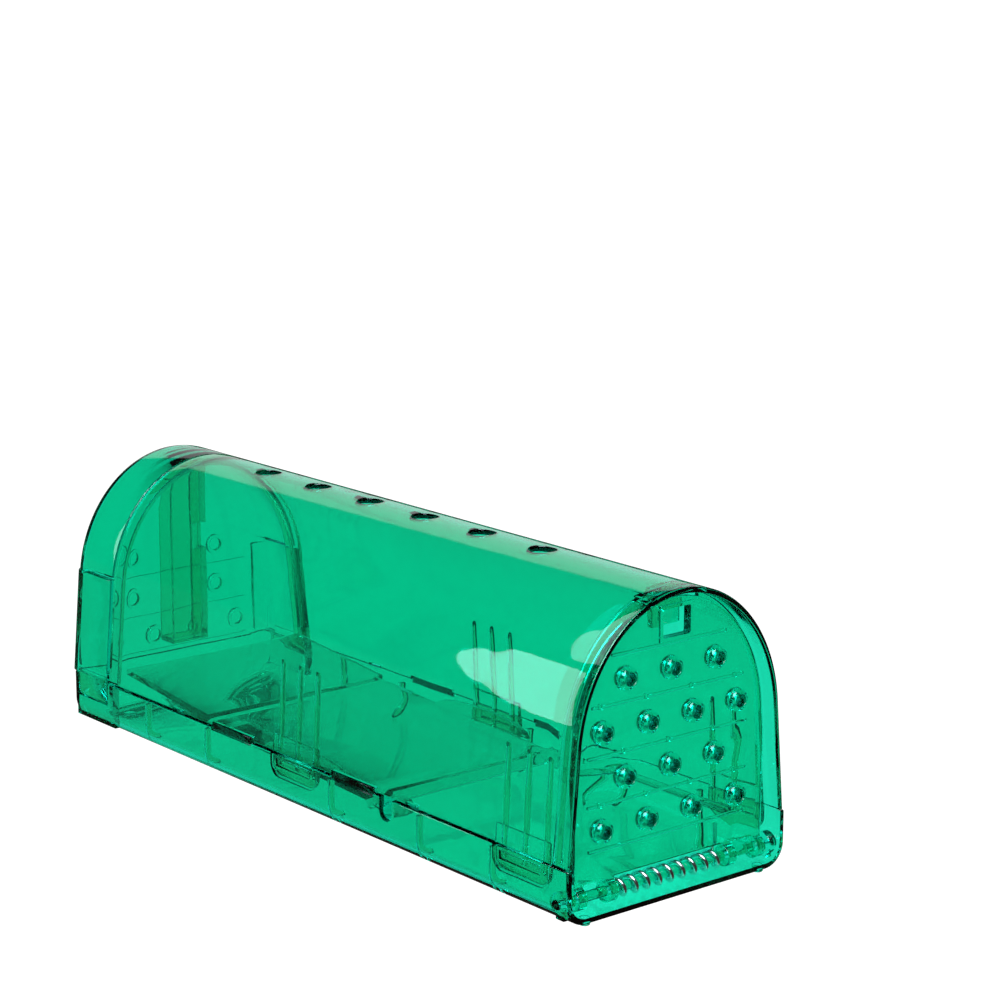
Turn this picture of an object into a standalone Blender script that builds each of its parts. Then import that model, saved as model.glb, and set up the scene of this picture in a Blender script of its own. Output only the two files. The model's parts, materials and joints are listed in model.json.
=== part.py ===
"""Live catch trap: a clear arched tunnel on a tray, with a sprung front door, a treadle and a lift-off rear cap.

Units are metres and +Z is up. X runs across the trap, Y along it with the door at -Y,
and the origin is under the middle of the trap, at the height of its feet.
"""

import math

import bmesh
import bpy
from mathutils import Matrix, Vector

MM = 0.001

# Whole object
LENGTH = 175.0 * MM
FRONT_Y = -LENGTH / 2
REAR_Y = LENGTH / 2
WALL = 1.2 * MM
GAP = 0.3 * MM

# Arched section of the tunnel and the cap
SEAM_Z = 12.0 * MM
SEAM_HALF = 27.9 * MM
SPRING_Z = 31.9 * MM
SPRING_HALF = 26.2 * MM
CROWN_Z = 61.3 * MM
ARCH_STEPS = 48
COVER_BOTTOM = SEAM_Z + GAP / 2
JOINT_Y = 71.7 * MM

# Tray
BASE_HALF = 28.3 * MM
BASE_WALL = 1.2 * MM
BASE_BOTTOM = 0.6 * MM
BASE_TOP = SEAM_Z - GAP / 2
BASE_CORNER = 4.8 * MM
REAR_WALL_Y = 85.9 * MM

# Clips that hold the tunnel to the tray: side (-1 is -X) and centre along Y
CLIPS = ((-1, -73.4 * MM), (1, -75.4 * MM), (-1, -0.2 * MM), (1, -1.7 * MM))
CLIP_HALF = 7.9 * MM
CLIP_BOTTOM = 6.8 * MM
CLIP_RIB_PITCH = 6.1 * MM
CLIP_RIB_TOP = 32.0 * MM

# Door and its hinge
HINGE_Y = -84.3 * MM
HINGE_Z = 4.6 * MM
DOOR_FRONT = -85.0 * MM
DOOR_BACK = -83.5 * MM
DOOR_HALF = 24.4 * MM
DOOR_INSET = 2.1 * MM
HOLE_PITCH = 11.5 * MM
HOLE_ROWS = (45.4 * MM, 35.85 * MM, 26.3 * MM, 16.7 * MM)
HOLE_COUNTS = (3, 4, 3, 4)
HOLE_R = 1.3 * MM
COLLAR_R = 2.35 * MM
RIDGE_LEVELS = (50.1 * MM, 40.7 * MM, 31.1 * MM, 21.6 * MM, 12.9 * MM)
RIDGE_HALVES = (14.6 * MM, 19.4 * MM, 20.4 * MM, 20.4 * MM, 20.0 * MM)
WINDOW_HALF = 14.2 * MM
WINDOW_TOP = 7.3 * MM
PIN_R = 1.0 * MM
PIN_HOLE_R = 1.1 * MM
FINGER_X = (21.4 * MM, 23.9 * MM)

# Treadle
TREADLE_HALF = 23.9 * MM
PIVOT_Y = -32.4 * MM
PIVOT_Z = 9.1 * MM

# Air holes along the crown
AIR_HOLE_R = 2.8 * MM
AIR_HOLE_PITCH = 18.8 * MM
AIR_HOLES = 6

COLLECTION_NAME = "live_catch_trap"
CUTTER_COLLECTION = "cutters"


def clear_scene():
    """Remove every object, collection and mesh of the start-up scene."""
    for obj in list(bpy.data.objects):
        bpy.data.objects.remove(obj, do_unlink=True)
    for collection in list(bpy.data.collections):
        bpy.data.collections.remove(collection)


def make_collection(name):
    """A new collection linked to the scene."""
    collection = bpy.data.collections.new(name)
    bpy.context.scene.collection.children.link(collection)
    return collection


def material(name, colour, alpha=1.0, metallic=0.0, roughness=0.2):
    """A plain Principled material."""
    mat = bpy.data.materials.new(name)
    mat.use_nodes = True
    shader = mat.node_tree.nodes["Principled BSDF"]
    shader.inputs["Base Color"].default_value = (*colour, 1.0)
    shader.inputs["Alpha"].default_value = alpha
    shader.inputs["Metallic"].default_value = metallic
    shader.inputs["Roughness"].default_value = roughness
    return mat


def object_from(name, bm, cutter=False):
    """Turn a bmesh into an object with its faces pointing outwards."""
    bmesh.ops.remove_doubles(bm, verts=bm.verts, dist=1e-7)
    bmesh.ops.recalc_face_normals(bm, faces=bm.faces)
    mesh = bpy.data.meshes.new(name)
    bm.to_mesh(mesh)
    bm.free()
    obj = bpy.data.objects.new(name, mesh)
    home = CUTTER_COLLECTION if cutter else COLLECTION_NAME
    bpy.data.collections[home].objects.link(obj)
    if cutter:
        obj.hide_render = True
        obj.display_type = "WIRE"
    return obj


def prism(name, outline, start, end, axis, cutter=True):
    """A closed outline swept straight from start to end along an axis.

    The outline holds (x, z) pairs for axis Y and (y, z) pairs for axis X.
    """
    bm = bmesh.new()
    if axis == "Y":
        corners = [bm.verts.new((a, start, b)) for a, b in outline]
        step = Vector((0, end - start, 0))
    else:
        corners = [bm.verts.new((start, a, b)) for a, b in outline]
        step = Vector((end - start, 0, 0))
    face = bm.faces.new(corners)
    swept = bmesh.ops.extrude_face_region(bm, geom=[face])
    moved = [item for item in swept["geom"] if isinstance(item, bmesh.types.BMVert)]
    bmesh.ops.translate(bm, verts=moved, vec=step)
    return object_from(name, bm, cutter)


def block(name, low, high, cutter=True):
    """A box between two corners."""
    bm = bmesh.new()
    size = [b - a for a, b in zip(low, high)]
    middle = [(a + b) / 2 for a, b in zip(low, high)]
    place = Matrix.Translation(middle) @ Matrix.Diagonal((*size, 1.0))
    bmesh.ops.create_cube(bm, size=1.0, matrix=place)
    return object_from(name, bm, cutter)


def rod(name, centre, radius, length, axis, segments=20, cutter=True, radius_end=None):
    """A cylinder or cone centred on a point, along an axis."""
    turns = {
        "X": Matrix.Rotation(math.pi / 2, 4, "Y"),
        "Y": Matrix.Rotation(-math.pi / 2, 4, "X"),
        "Z": Matrix.Identity(4),
    }
    bm = bmesh.new()
    bmesh.ops.create_cone(
        bm,
        cap_ends=True,
        segments=segments,
        radius1=radius,
        radius2=radius if radius_end is None else radius_end,
        depth=length,
        matrix=Matrix.Translation(centre) @ turns[axis],
    )
    return object_from(name, bm, cutter)


def combine(target, tools, operation):
    """Apply one exact Boolean per tool, then delete the tools."""
    for tool in tools:
        modifier = target.modifiers.new(operation.lower(), "BOOLEAN")
        modifier.operation = operation
        modifier.solver = "EXACT"
        modifier.object = tool
        bpy.context.view_layer.update()
        graph = bpy.context.evaluated_depsgraph_get()
        mesh = bpy.data.meshes.new_from_object(target.evaluated_get(graph))
        target.modifiers.clear()
        old = target.data
        target.data = mesh
        bpy.data.meshes.remove(old)
        bpy.data.objects.remove(tool, do_unlink=True)
    return target


def add(target, *tools):
    """Join solids to the target."""
    return combine(target, tools, "UNION")


def cut(target, *tools):
    """Cut solids out of the target."""
    return combine(target, tools, "DIFFERENCE")


def keep(target, tool):
    """Keep only what lies inside the tool."""
    return combine(target, [tool], "INTERSECT")


def bevel_edges(obj, pick, width, segments):
    """Round the edges whose two ends both satisfy pick."""
    bm = bmesh.new()
    bm.from_mesh(obj.data)
    edges = [edge for edge in bm.edges if all(pick(vert.co) for vert in edge.verts)]
    bmesh.ops.bevel(
        bm, geom=edges, offset=width, segments=segments, profile=0.5, affect="EDGES", clamp_overlap=True
    )
    bm.to_mesh(obj.data)
    bm.free()
    return obj


def side_half(z, inset):
    """Half width of the leaning side walls at a height."""
    lean = (SEAM_HALF - SPRING_HALF) * (SPRING_Z - z) / (SPRING_Z - SEAM_Z)
    return SPRING_HALF + lean - inset


def arch_path(inset, bottom):
    """Points up the left wall, over the crown and down the right wall."""
    points = [(-side_half(bottom, inset), bottom)]
    for step in range(ARCH_STEPS + 1):
        angle = math.pi * step / ARCH_STEPS
        x = -(SPRING_HALF - inset) * math.cos(angle)
        z = SPRING_Z + (CROWN_Z - inset - SPRING_Z) * math.sin(angle)
        points.append((x, z))
    points.append((side_half(bottom, inset), bottom))
    return points


def arch_band(outer, inner, bottom=COVER_BOTTOM):
    """Closed outline of an arched wall between two insets."""
    return arch_path(outer, bottom) + arch_path(inner, bottom)[::-1]


def tray_path(inset, top, floor_to=0.0):
    """Points down the left wall of the tray and round its corner, to x = -floor_to."""
    half = BASE_HALF - inset
    low = BASE_BOTTOM + inset
    radius = BASE_CORNER - inset
    points = [(-half, top)]
    for step in range(9):
        angle = math.pi / 2 * step / 8
        x = -half + radius - radius * math.cos(angle)
        z = low + radius - radius * math.sin(angle)
        points.append((x, z))
    if floor_to > 0:
        points.append((-floor_to, low))
    return points


def mirrored(points):
    """The same points on the other side, in reverse order."""
    return [(-x, z) for x, z in reversed(points)]


def rounded_plate(y0, y1, bottom, top, radius):
    """Outline in (y, z) of a plate whose two lower corners are rounded."""
    points = [(y0, top)]
    for centre, start in ((y0 + radius, math.pi), (y1 - radius, 1.5 * math.pi)):
        for step in range(7):
            angle = start + math.pi / 2 * step / 6
            points.append((centre + radius * math.cos(angle), bottom + radius + radius * math.sin(angle)))
    points.append((y1, top))
    return points


def build_cover():
    """Arched tunnel with its rim, neck, door stop, catch, clips and air holes."""
    cover = prism("tunnel_cover", arch_band(0.0, WALL), FRONT_Y, JOINT_Y, "Y", cutter=False)
    neck_root = prism("neck_root", arch_band(0.9 * MM, 2.7 * MM), 69.0 * MM, 71.0 * MM, "Y")
    neck = prism("neck", arch_band(1.9 * MM, 2.7 * MM), 70.0 * MM, 73.2 * MM, "Y")
    stop = prism("door_stop", arch_band(0.9 * MM, 2.5 * MM), -83.2 * MM, -82.2 * MM, "Y")
    add(cover, neck_root, neck, stop)
    cut(cover, block("catch_gap", (-7 * MM, -84 * MM, 55 * MM), (8 * MM, -81.5 * MM, 59.4 * MM)))
    catch = block("catch", (-3.4 * MM, -82.0 * MM, 53.0 * MM), (4.4 * MM, -80.8 * MM, 60.6 * MM))
    catch_nose = block("catch_nose", (-2.0 * MM, -83.1 * MM, 54.2 * MM), (3.0 * MM, -81.5 * MM, 56.4 * MM))
    add(cover, catch, catch_nose)
    for side, centre in CLIPS:
        tongue_outline = rounded_plate(centre - CLIP_HALF, centre + CLIP_HALF, CLIP_BOTTOM, 16.0 * MM, 2.6 * MM)
        inner, outer = sorted((side * 25.9 * MM, side * 27.1 * MM))
        tongue = prism("tongue", tongue_outline, inner, outer, "X")
        add(cover, tongue)
        keep_low, keep_high = sorted((side * 26.8 * MM, side * 27.45 * MM))
        bump = block(
            "snap_bump",
            (keep_low, centre - 5.6 * MM, 9.4 * MM),
            (keep_high, centre + 5.6 * MM, 10.5 * MM),
        )
        add(cover, bump)
        for place in (-1, 0, 1):
            y = centre + place * CLIP_RIB_PITCH
            rib_outline = [
                (side * 26.3 * MM, 8.6 * MM),
                (side * 25.1 * MM, 9.6 * MM),
                (side * 24.9 * MM, 18.0 * MM),
                (side * 24.2 * MM, CLIP_RIB_TOP - 1.5 * MM),
                (side * 25.2 * MM, CLIP_RIB_TOP),
            ]
            rib = prism("clip_rib", rib_outline, y - 0.4 * MM, y + 0.4 * MM, "Y")
            add(cover, rib)
    for index in range(AIR_HOLES):
        y = (index - (AIR_HOLES - 1) / 2) * AIR_HOLE_PITCH
        cut(cover, rod("air_hole", (0, y, CROWN_Z), AIR_HOLE_R, 8 * MM, "Z", 28))
    for low, high in ((14.5, 29.6), (-28.3, -13.6)):
        cut(cover, block("seam_slot", (-40 * MM, low * MM, 10 * MM), (40 * MM, high * MM, 12.6 * MM)))
    for low, high in ((41.4, 45.3), (-42.0, -38.4)):
        cut(cover, block("seam_notch", (-40 * MM, low * MM, 10 * MM), (40 * MM, high * MM, 12.7 * MM)))
    return cover


def build_tray():
    """Rounded tray with clip pockets, ribs, pivot notches, hinge bosses and feet."""
    outer = tray_path(0.0, BASE_TOP)
    inner = tray_path(BASE_WALL, 30 * MM)
    tray = prism("base_tray", outer + mirrored(outer), FRONT_Y, REAR_Y, "Y", cutter=False)
    bevel_edges(tray, lambda co: co.y > REAR_Y - 1e-6, 3.0 * MM, 5)
    keep(tray, block("below_seam", (-40 * MM, -100 * MM, 0), (40 * MM, 100 * MM, BASE_TOP - 1e-5)))
    cut(tray, prism("tray_hollow", inner + mirrored(inner), -95 * MM, REAR_WALL_Y, "Y"))
    for y in (56.2, 32.6, -12.6, -41.9, -64.5):
        rib = tray_path(1.0 * MM, 10.6 * MM, 21.5 * MM) + tray_path(2.4 * MM, 10.6 * MM, 21.5 * MM)[::-1]
        for outline in (rib, [(-x, z) for x, z in rib]):
            add(tray, prism("tray_rib", outline, (y - 0.5) * MM, (y + 0.5) * MM, "Y"))
    for side in (-1, 1):
        pad = sorted((side * 25.4 * MM, side * 27.4 * MM))
        add(tray, block("cap_pad", (pad[0], 70.2 * MM, 1.4 * MM), (pad[1], 86.4 * MM, BASE_TOP - 1e-5)))
        recess = sorted((side * 26.8 * MM, side * 32.0 * MM))
        cut(tray, block("cap_recess", (recess[0], 71.7 * MM, 6.7 * MM), (recess[1], 84.4 * MM, 20 * MM)))
        boss = rod("hinge_boss", (side * 26.3 * MM, HINGE_Y, HINGE_Z), 2.4 * MM, 2.0 * MM, "X")
        foot = block("boss_foot", (min(side * 25.3, side * 27.3) * MM, HINGE_Y - 1.2 * MM, 1.4 * MM),
                     (max(side * 25.3, side * 27.3) * MM, HINGE_Y + 1.2 * MM, HINGE_Z))
        add(tray, boss, foot)
        cut(tray, rod("pin_hole", (side * 27 * MM, HINGE_Y, HINGE_Z), PIN_HOLE_R, 8 * MM, "X"))
        notch = rod("pivot_notch", (side * 27.5 * MM, PIVOT_Y, PIVOT_Z), 2.05 * MM, 6 * MM, "X")
        mouth_x = sorted((side * 24.5 * MM, side * 30.5 * MM))
        mouth = block("notch_mouth", (mouth_x[0], PIVOT_Y - 2.05 * MM, PIVOT_Z),
                      (mouth_x[1], PIVOT_Y + 2.05 * MM, 20 * MM))
        cut(tray, notch, mouth)
        add(tray, rod("front_foot", (side * 22.6 * MM, -86.0 * MM, 0.7 * MM), 1.1 * MM, 1.4 * MM, "Z", 16))
        add(tray, rod("rear_foot", (side * 18.0 * MM, 78.0 * MM, 0.7 * MM), 1.6 * MM, 1.4 * MM, "Z", 16))
    for side, centre in CLIPS:
        pocket = sorted((side * 24.0 * MM, side * 27.4 * MM))
        half = CLIP_HALF + GAP
        outline = rounded_plate(centre - half, centre + half, CLIP_BOTTOM - GAP, 20 * MM, 2.9 * MM)
        cut(tray, prism("clip_pocket", outline, pocket[0], pocket[1], "X"))
        groove = sorted((side * 27.0 * MM, side * 27.8 * MM))
        cut(tray, block("snap_groove", (groove[0], centre - 6.0 * MM, 9.0 * MM),
                        (groove[1], centre + 6.0 * MM, 10.9 * MM)))
    for low, high in ((14.5, 29.6), (-28.3, -13.6)):
        cut(tray, block("seam_slot", (-40 * MM, low * MM, 11.2 * MM), (40 * MM, high * MM, 14 * MM)))
    return tray


def build_door():
    """Arched door with collared holes, ridges, latch notch, hinge barrels and finger."""
    crown = arch_path(DOOR_INSET, 30.0 * MM)
    outline = [(-DOOR_HALF, HINGE_Z - 1.4 * MM), (-DOOR_HALF, 28.0 * MM)]
    outline += crown[1:-1]
    outline += [(DOOR_HALF, 28.0 * MM), (DOOR_HALF, HINGE_Z - 1.4 * MM)]
    door = prism("door", outline, DOOR_FRONT, DOOR_BACK, "Y", cutter=False)
    cut(door, block("spring_window", (-WINDOW_HALF, -90 * MM, 0), (WINDOW_HALF, -80 * MM, WINDOW_TOP)))
    for side in (-1, 1):
        middle = side * (WINDOW_HALF + DOOR_HALF) / 2
        barrel = rod("barrel", (middle, HINGE_Y, HINGE_Z), 2.2 * MM, DOOR_HALF - WINDOW_HALF, "X")
        add(door, barrel)
        relief = sorted((side * 16.4 * MM, side * 22.2 * MM))
        cut(door, block("foot_relief", (relief[0], -90 * MM, 0), (relief[1], -80 * MM, WINDOW_TOP)))
    finger = [
        (HINGE_Y, HINGE_Z - 1.6 * MM),
        (-76.3 * MM, HINGE_Z - 1.6 * MM),
        (-76.3 * MM, HINGE_Z + 0.4 * MM),
        (HINGE_Y, HINGE_Z + 0.9 * MM),
    ]
    add(door, prism("finger", finger, FINGER_X[0], FINGER_X[1], "X"))
    for level, half in zip(RIDGE_LEVELS, RIDGE_HALVES):
        ridge = block("ridge", (-half, -84.0 * MM, level - 0.3 * MM), (half, -83.05 * MM, level + 0.3 * MM))
        add(door, ridge)
    centres = []
    for z, count in zip(HOLE_ROWS, HOLE_COUNTS):
        centres += [((index - (count - 1) / 2) * HOLE_PITCH, z) for index in range(count)]
    for x, z in centres:
        add(door, rod("collar", (x, -84.2 * MM, z), COLLAR_R, 3.6 * MM, "Y"))
        nib = block("nib", (x - 0.4 * MM, -84.0 * MM, z + 4.3 * MM), (x + 0.4 * MM, -82.8 * MM, z + 5.4 * MM))
        add(door, nib)
    for x, z in centres:
        cut(door, rod("hole", (x, -84 * MM, z), HOLE_R, 10 * MM, "Y"))
    frame = block("latch_frame", (-3.8 * MM, -85.4 * MM, 50.8 * MM), (4.8 * MM, -83.9 * MM, 58.0 * MM))
    add(door, frame)
    cut(door, block("latch_notch", (-3.0 * MM, -88 * MM, 51.6 * MM), (4.0 * MM, -80 * MM, 57.2 * MM)))
    cut(door, rod("barrel_bore", (0, HINGE_Y, HINGE_Z), PIN_HOLE_R, 60 * MM, "X"))
    return door


def build_pin():
    """Plastic hinge pin, held in the tray's two bosses."""
    return rod("hinge_pin", (0, HINGE_Y, HINGE_Z), PIN_R, 56.4 * MM, "X", cutter=False)


def build_spring():
    """Torsion spring round the hinge pin, one leg up the door and one in to the floor."""
    coil_r = 1.65 * MM
    wire_r = 0.42 * MM
    half = 13.3 * MM
    turns = 8.75
    steps_per_turn = 16
    count = int(turns * steps_per_turn)
    points = [(-half, -74.0 * MM, 2.9 * MM), (-half, -79.0 * MM, 4.7 * MM)]
    points.append((-half, -82.6 * MM, 6.0 * MM))
    for step in range(count + 1):
        angle = math.pi / 2 + turns * 2 * math.pi * step / count
        x = -half + 2 * half * step / count
        points.append((x, HINGE_Y + coil_r * math.cos(angle), HINGE_Z + coil_r * math.sin(angle)))
    points.append((half, HINGE_Y + coil_r, 8.0 * MM))
    points.append((half, HINGE_Y + coil_r, 11.4 * MM))
    curve = bpy.data.curves.new("spring_wire", "CURVE")
    curve.dimensions = "3D"
    curve.bevel_depth = wire_r
    curve.bevel_resolution = 2
    curve.use_fill_caps = True
    spline = curve.splines.new("POLY")
    spline.points.add(len(points) - 1)
    for point, place in zip(spline.points, points):
        point.co = (*place, 1.0)
    source = bpy.data.objects.new("spring_wire", curve)
    bpy.context.scene.collection.objects.link(source)
    bpy.context.view_layer.update()
    graph = bpy.context.evaluated_depsgraph_get()
    mesh = bpy.data.meshes.new_from_object(source.evaluated_get(graph))
    bm = bmesh.new()
    bm.from_mesh(mesh)
    bpy.data.meshes.remove(mesh)
    bpy.data.objects.remove(source, do_unlink=True)
    return object_from("door_spring", bm)


def build_treadle():
    """Tilting plate with a raised rear pad, side lobes, pivot stubs and a trigger arm."""
    plate = [
        (-22.0 * MM, 9.1 * MM),
        (36.4 * MM, 11.2 * MM),
        (36.4 * MM, 12.1 * MM),
        (69.5 * MM, 15.2 * MM),
        (69.5 * MM, 13.9 * MM),
        (37.4 * MM, 10.7 * MM),
        (36.4 * MM, 9.8 * MM),
        (-20.5 * MM, 7.7 * MM),
        (-21.6 * MM, 6.2 * MM),
        (-23.2 * MM, 6.2 * MM),
    ]
    treadle = prism("treadle", plate, -TREADLE_HALF, TREADLE_HALF, "X", cutter=False)
    arm = [
        (-20.0 * MM, 7.9 * MM),
        (-20.4 * MM, 9.1 * MM),
        (-31.0 * MM, 10.9 * MM),
        (-33.6 * MM, 10.8 * MM),
        (-34.4 * MM, 9.6 * MM),
        (-34.2 * MM, 8.2 * MM),
        (-33.0 * MM, 7.3 * MM),
        (-27.0 * MM, 6.4 * MM),
    ]
    for side in (-1, 1):
        inner, outer = sorted((side * 21.9 * MM, side * (TREADLE_HALF - 0.01 * MM)))
        add(treadle, prism("pivot_arm", arm, inner, outer, "X"))
        middle = side * 25.2 * MM
        add(treadle, rod("pivot_stub", (middle, PIVOT_Y, PIVOT_Z), 1.75 * MM, 5.0 * MM, "X", 24))
        lobe = []
        for step in range(13):
            angle = math.pi * step / 12
            lobe.append((16.0 * MM * math.cos(angle), 10.0 * MM + 2.8 * MM * math.sin(angle)))
        lobe_x = sorted((side * 22.7 * MM, side * (TREADLE_HALF - 0.02 * MM)))
        add(treadle, prism("side_lobe", lobe, lobe_x[0], lobe_x[1], "X"))
    trigger = [
        (-24.0 * MM, 7.2 * MM),
        (-30.0 * MM, 9.7 * MM),
        (-76.6 * MM, 9.7 * MM),
        (-76.6 * MM, 10.7 * MM),
        (-27.0 * MM, 10.7 * MM),
        (-21.0 * MM, 8.9 * MM),
    ]
    add(treadle, prism("trigger_arm", trigger, FINGER_X[0] + 0.2 * MM, FINGER_X[1] - 0.2 * MM, "X"))
    return treadle


def build_cap():
    """Hood and end wall of the closed end, with squeeze panels whose tabs reach the tray."""
    hood_outline = arch_path(0.0, 4.0 * MM)
    cap = prism("rear_cap", hood_outline, JOINT_Y + GAP, REAR_Y, "Y", cutter=False)
    bevel_edges(cap, lambda co: co.y > REAR_Y - 1e-6, 2.2 * MM, 4)
    panel_outline = arch_path(-0.4 * MM, 4.0 * MM)
    panel = prism("panel", panel_outline, JOINT_Y + GAP, REAR_Y - 0.02 * MM, "Y")
    bevel_edges(panel, lambda co: co.y > REAR_Y - 0.03 * MM, 2.4 * MM, 4)
    keep(panel, block("panel_band", (-40 * MM, 60 * MM, 8 * MM), (40 * MM, 90 * MM, 35.7 * MM)))
    add(cap, panel)
    cut(cap, prism("hood_hollow", arch_path(WALL, -5 * MM), 60 * MM, REAR_WALL_Y, "Y"))
    cut(cap, block("below_seam", (-40 * MM, 60 * MM, -5 * MM), (40 * MM, 95 * MM, COVER_BOTTOM)))
    for side in (-1, 1):
        tab_x = sorted((side * 27.1 * MM, side * 28.28 * MM))
        tab = prism(
            "tab",
            rounded_plate(JOINT_Y + GAP, 84.1 * MM, 7.0 * MM, 13.5 * MM, 1.2 * MM),
            tab_x[0],
            tab_x[1],
            "X",
        )
        add(cap, tab)
        slot_x = sorted((side * 20 * MM, side * 40 * MM))
        cut(cap, block("squeeze_slot", (slot_x[0], 60 * MM, 35.5 * MM), (slot_x[1], 83.8 * MM, 36.2 * MM)))
        corner_x = sorted((side * 22.0 * MM, side * 26.0 * MM))
        corner = block("corner_pad", (corner_x[0], 84.9 * MM, 13.0 * MM), (corner_x[1], 86.4 * MM, 34.6 * MM))
        add(cap, corner)
    for level, half in zip(RIDGE_LEVELS[2:], (20.0 * MM, 20.0 * MM, 20.0 * MM)):
        add(cap, block("ridge", (-half, 85.4 * MM, level - 0.3 * MM), (half, 86.3 * MM, level + 0.3 * MM)))
    spots = [(side * HOLE_PITCH, z) for side in (-1, 1) for z in HOLE_ROWS[1:3]]
    spots += [(x * HOLE_PITCH, HOLE_ROWS[3]) for x in (-1.5, -0.5, 0.5, 1.5)]
    for x, z in spots:
        add(cap, rod("collar", (x, 85.75 * MM, z), COLLAR_R, 1.3 * MM, "Y"))
    for x, z in spots:
        cut(cap, rod("dimple", (x, 85.2 * MM, z), HOLE_R, 2.0 * MM, "Y"))
    return cap


def build_bait_holder():
    """Upright channel inside the end wall, closed at its foot so that it holds the bait."""
    low = (-4.5 * MM, 79.8 * MM, 15.3 * MM)
    high = (5.4 * MM, 85.0 * MM, 56.6 * MM)
    holder = block("bait_holder", low, high, cutter=False)
    hollow = block("channel", (-3.5 * MM, 80.8 * MM, 16.5 * MM), (3.9 * MM, 90 * MM, 60 * MM))
    window = block("bait_window", (1.6 * MM, 78 * MM, 37.0 * MM), (8 * MM, 82.2 * MM, 43.2 * MM))
    return cut(holder, hollow, window)


def finish(obj, mat):
    """Give a finished piece its material and smooth its round faces."""
    mesh = obj.data
    mesh.materials.clear()
    mesh.materials.append(mat)
    for polygon in mesh.polygons:
        polygon.material_index = 0
        polygon.use_smooth = True
    mesh.set_sharp_from_angle(angle=math.radians(30))


def set_origin(obj, point):
    """Put the object's origin on its joint axis without moving its shape."""
    obj.data.transform(Matrix.Translation(-Vector(point)))
    obj.location = point


def main():
    clear_scene()
    make_collection(COLLECTION_NAME)
    make_collection(CUTTER_COLLECTION)
    clear_green = (0.0, 0.52, 0.33)
    steel = (0.62, 0.63, 0.65)
    pieces = {
        "tunnel_cover": (build_cover(), material("tunnel_green", clear_green, 0.45)),
        "base_tray": (build_tray(), material("tray_green", clear_green, 0.45)),
        "door": (build_door(), material("door_green", clear_green, 0.45)),
        "hinge_pin": (build_pin(), material("pin_green", clear_green, 0.45)),
        "door_spring": (build_spring(), material("spring_steel", steel, 1.0, 1.0, 0.25)),
        "treadle": (build_treadle(), material("treadle_green", clear_green, 0.45)),
        "rear_cap": (build_cap(), material("cap_green", clear_green, 0.45)),
        "bait_holder": (build_bait_holder(), material("holder_green", clear_green, 0.45)),
    }
    for obj, mat in pieces.values():
        finish(obj, mat)
    hinge = (0, HINGE_Y, HINGE_Z)
    for name in ("door", "hinge_pin", "door_spring"):
        set_origin(pieces[name][0], hinge)
    set_origin(pieces["treadle"][0], (0, PIVOT_Y, PIVOT_Z))


main()
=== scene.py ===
"""Live catch trap in clear green plastic, dressed over its CAD frame and lit as a product shot.

Shapes are worked out in millimetres and turned into metres when a mesh is made. X runs
across the trap, Y along it with the door at -Y, and Z is up.
"""

import json
import logging
import math
from dataclasses import dataclass
from enum import Enum

import bmesh
import bpy
import numpy as np
from mathutils import Matrix, Quaternion, Vector


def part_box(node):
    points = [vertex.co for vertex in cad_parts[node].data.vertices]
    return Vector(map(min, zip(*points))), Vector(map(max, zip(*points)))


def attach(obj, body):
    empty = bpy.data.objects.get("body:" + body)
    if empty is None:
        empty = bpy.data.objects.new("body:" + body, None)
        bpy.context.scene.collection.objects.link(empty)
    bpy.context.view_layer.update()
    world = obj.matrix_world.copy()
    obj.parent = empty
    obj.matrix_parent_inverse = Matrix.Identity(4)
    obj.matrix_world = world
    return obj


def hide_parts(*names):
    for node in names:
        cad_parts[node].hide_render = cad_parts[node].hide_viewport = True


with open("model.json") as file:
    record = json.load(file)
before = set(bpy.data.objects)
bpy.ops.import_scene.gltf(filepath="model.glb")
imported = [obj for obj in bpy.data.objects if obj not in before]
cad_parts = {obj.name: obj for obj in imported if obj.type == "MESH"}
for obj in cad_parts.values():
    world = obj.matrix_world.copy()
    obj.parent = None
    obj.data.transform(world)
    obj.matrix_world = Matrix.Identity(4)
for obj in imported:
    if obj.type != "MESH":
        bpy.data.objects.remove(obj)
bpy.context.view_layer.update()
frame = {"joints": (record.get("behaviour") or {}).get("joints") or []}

logging.basicConfig(level=logging.INFO, format="%(message)s")
LOG = logging.getLogger("live_catch_trap")

MM = 0.001
SHARP_ANGLE = math.radians(32.0)

# Edges closer than these, in metres, are one edge: before a Boolean, and after the last.
WELD_BEFORE = 2e-7
WELD_AFTER = 1e-6

# The face mark of the walls of holes, where the plastic's material paints a darker tint as painted shade.
PAINTED_SHADE_MARK = "painted_hole_shade"

SIDES = (-1, 1)

# The side and middle of each clip along Y, and where each seam slot starts and ends.
CLIPS = ((-1, -73.4), (1, -75.4), (-1, -0.2), (1, -1.7))
SEAM_SLOTS = ((14.5, 29.6), (-28.3, -13.6))
SEAM_SLOT_MIDDLES = tuple((low + high) / 2 for low, high in SEAM_SLOTS)


class Axis(Enum):
    """The direction along which a solid is drawn out.

    The value says which of an outline's two coordinates and its place along the axis
    comes first, second and third in a point.
    """

    X = (2, 0, 1)
    Y = (0, 2, 1)
    Z = (0, 1, 2)


class Body(Enum):
    """The moving bodies of the frame."""

    BASE = "base"
    DOOR = "door"
    TREADLE = "treadle"
    REAR_CAP = "rear_cap"


class Slot(Enum):
    """The record's material slots."""

    PLASTIC = "clear_green_plastic"
    STEEL = "bright_steel"


def reach_of(side: int, inner: float, outer: float) -> tuple[float, float]:
    """The lower and the upper x of something that runs from inner to outer on one side."""
    low, high = sorted((side * inner, side * outer))
    return low, high


def unit(vectors: np.ndarray) -> np.ndarray:
    """Each row divided by its length."""
    return vectors / np.maximum(np.linalg.norm(vectors, axis=-1, keepdims=True), 1e-12)


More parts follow.
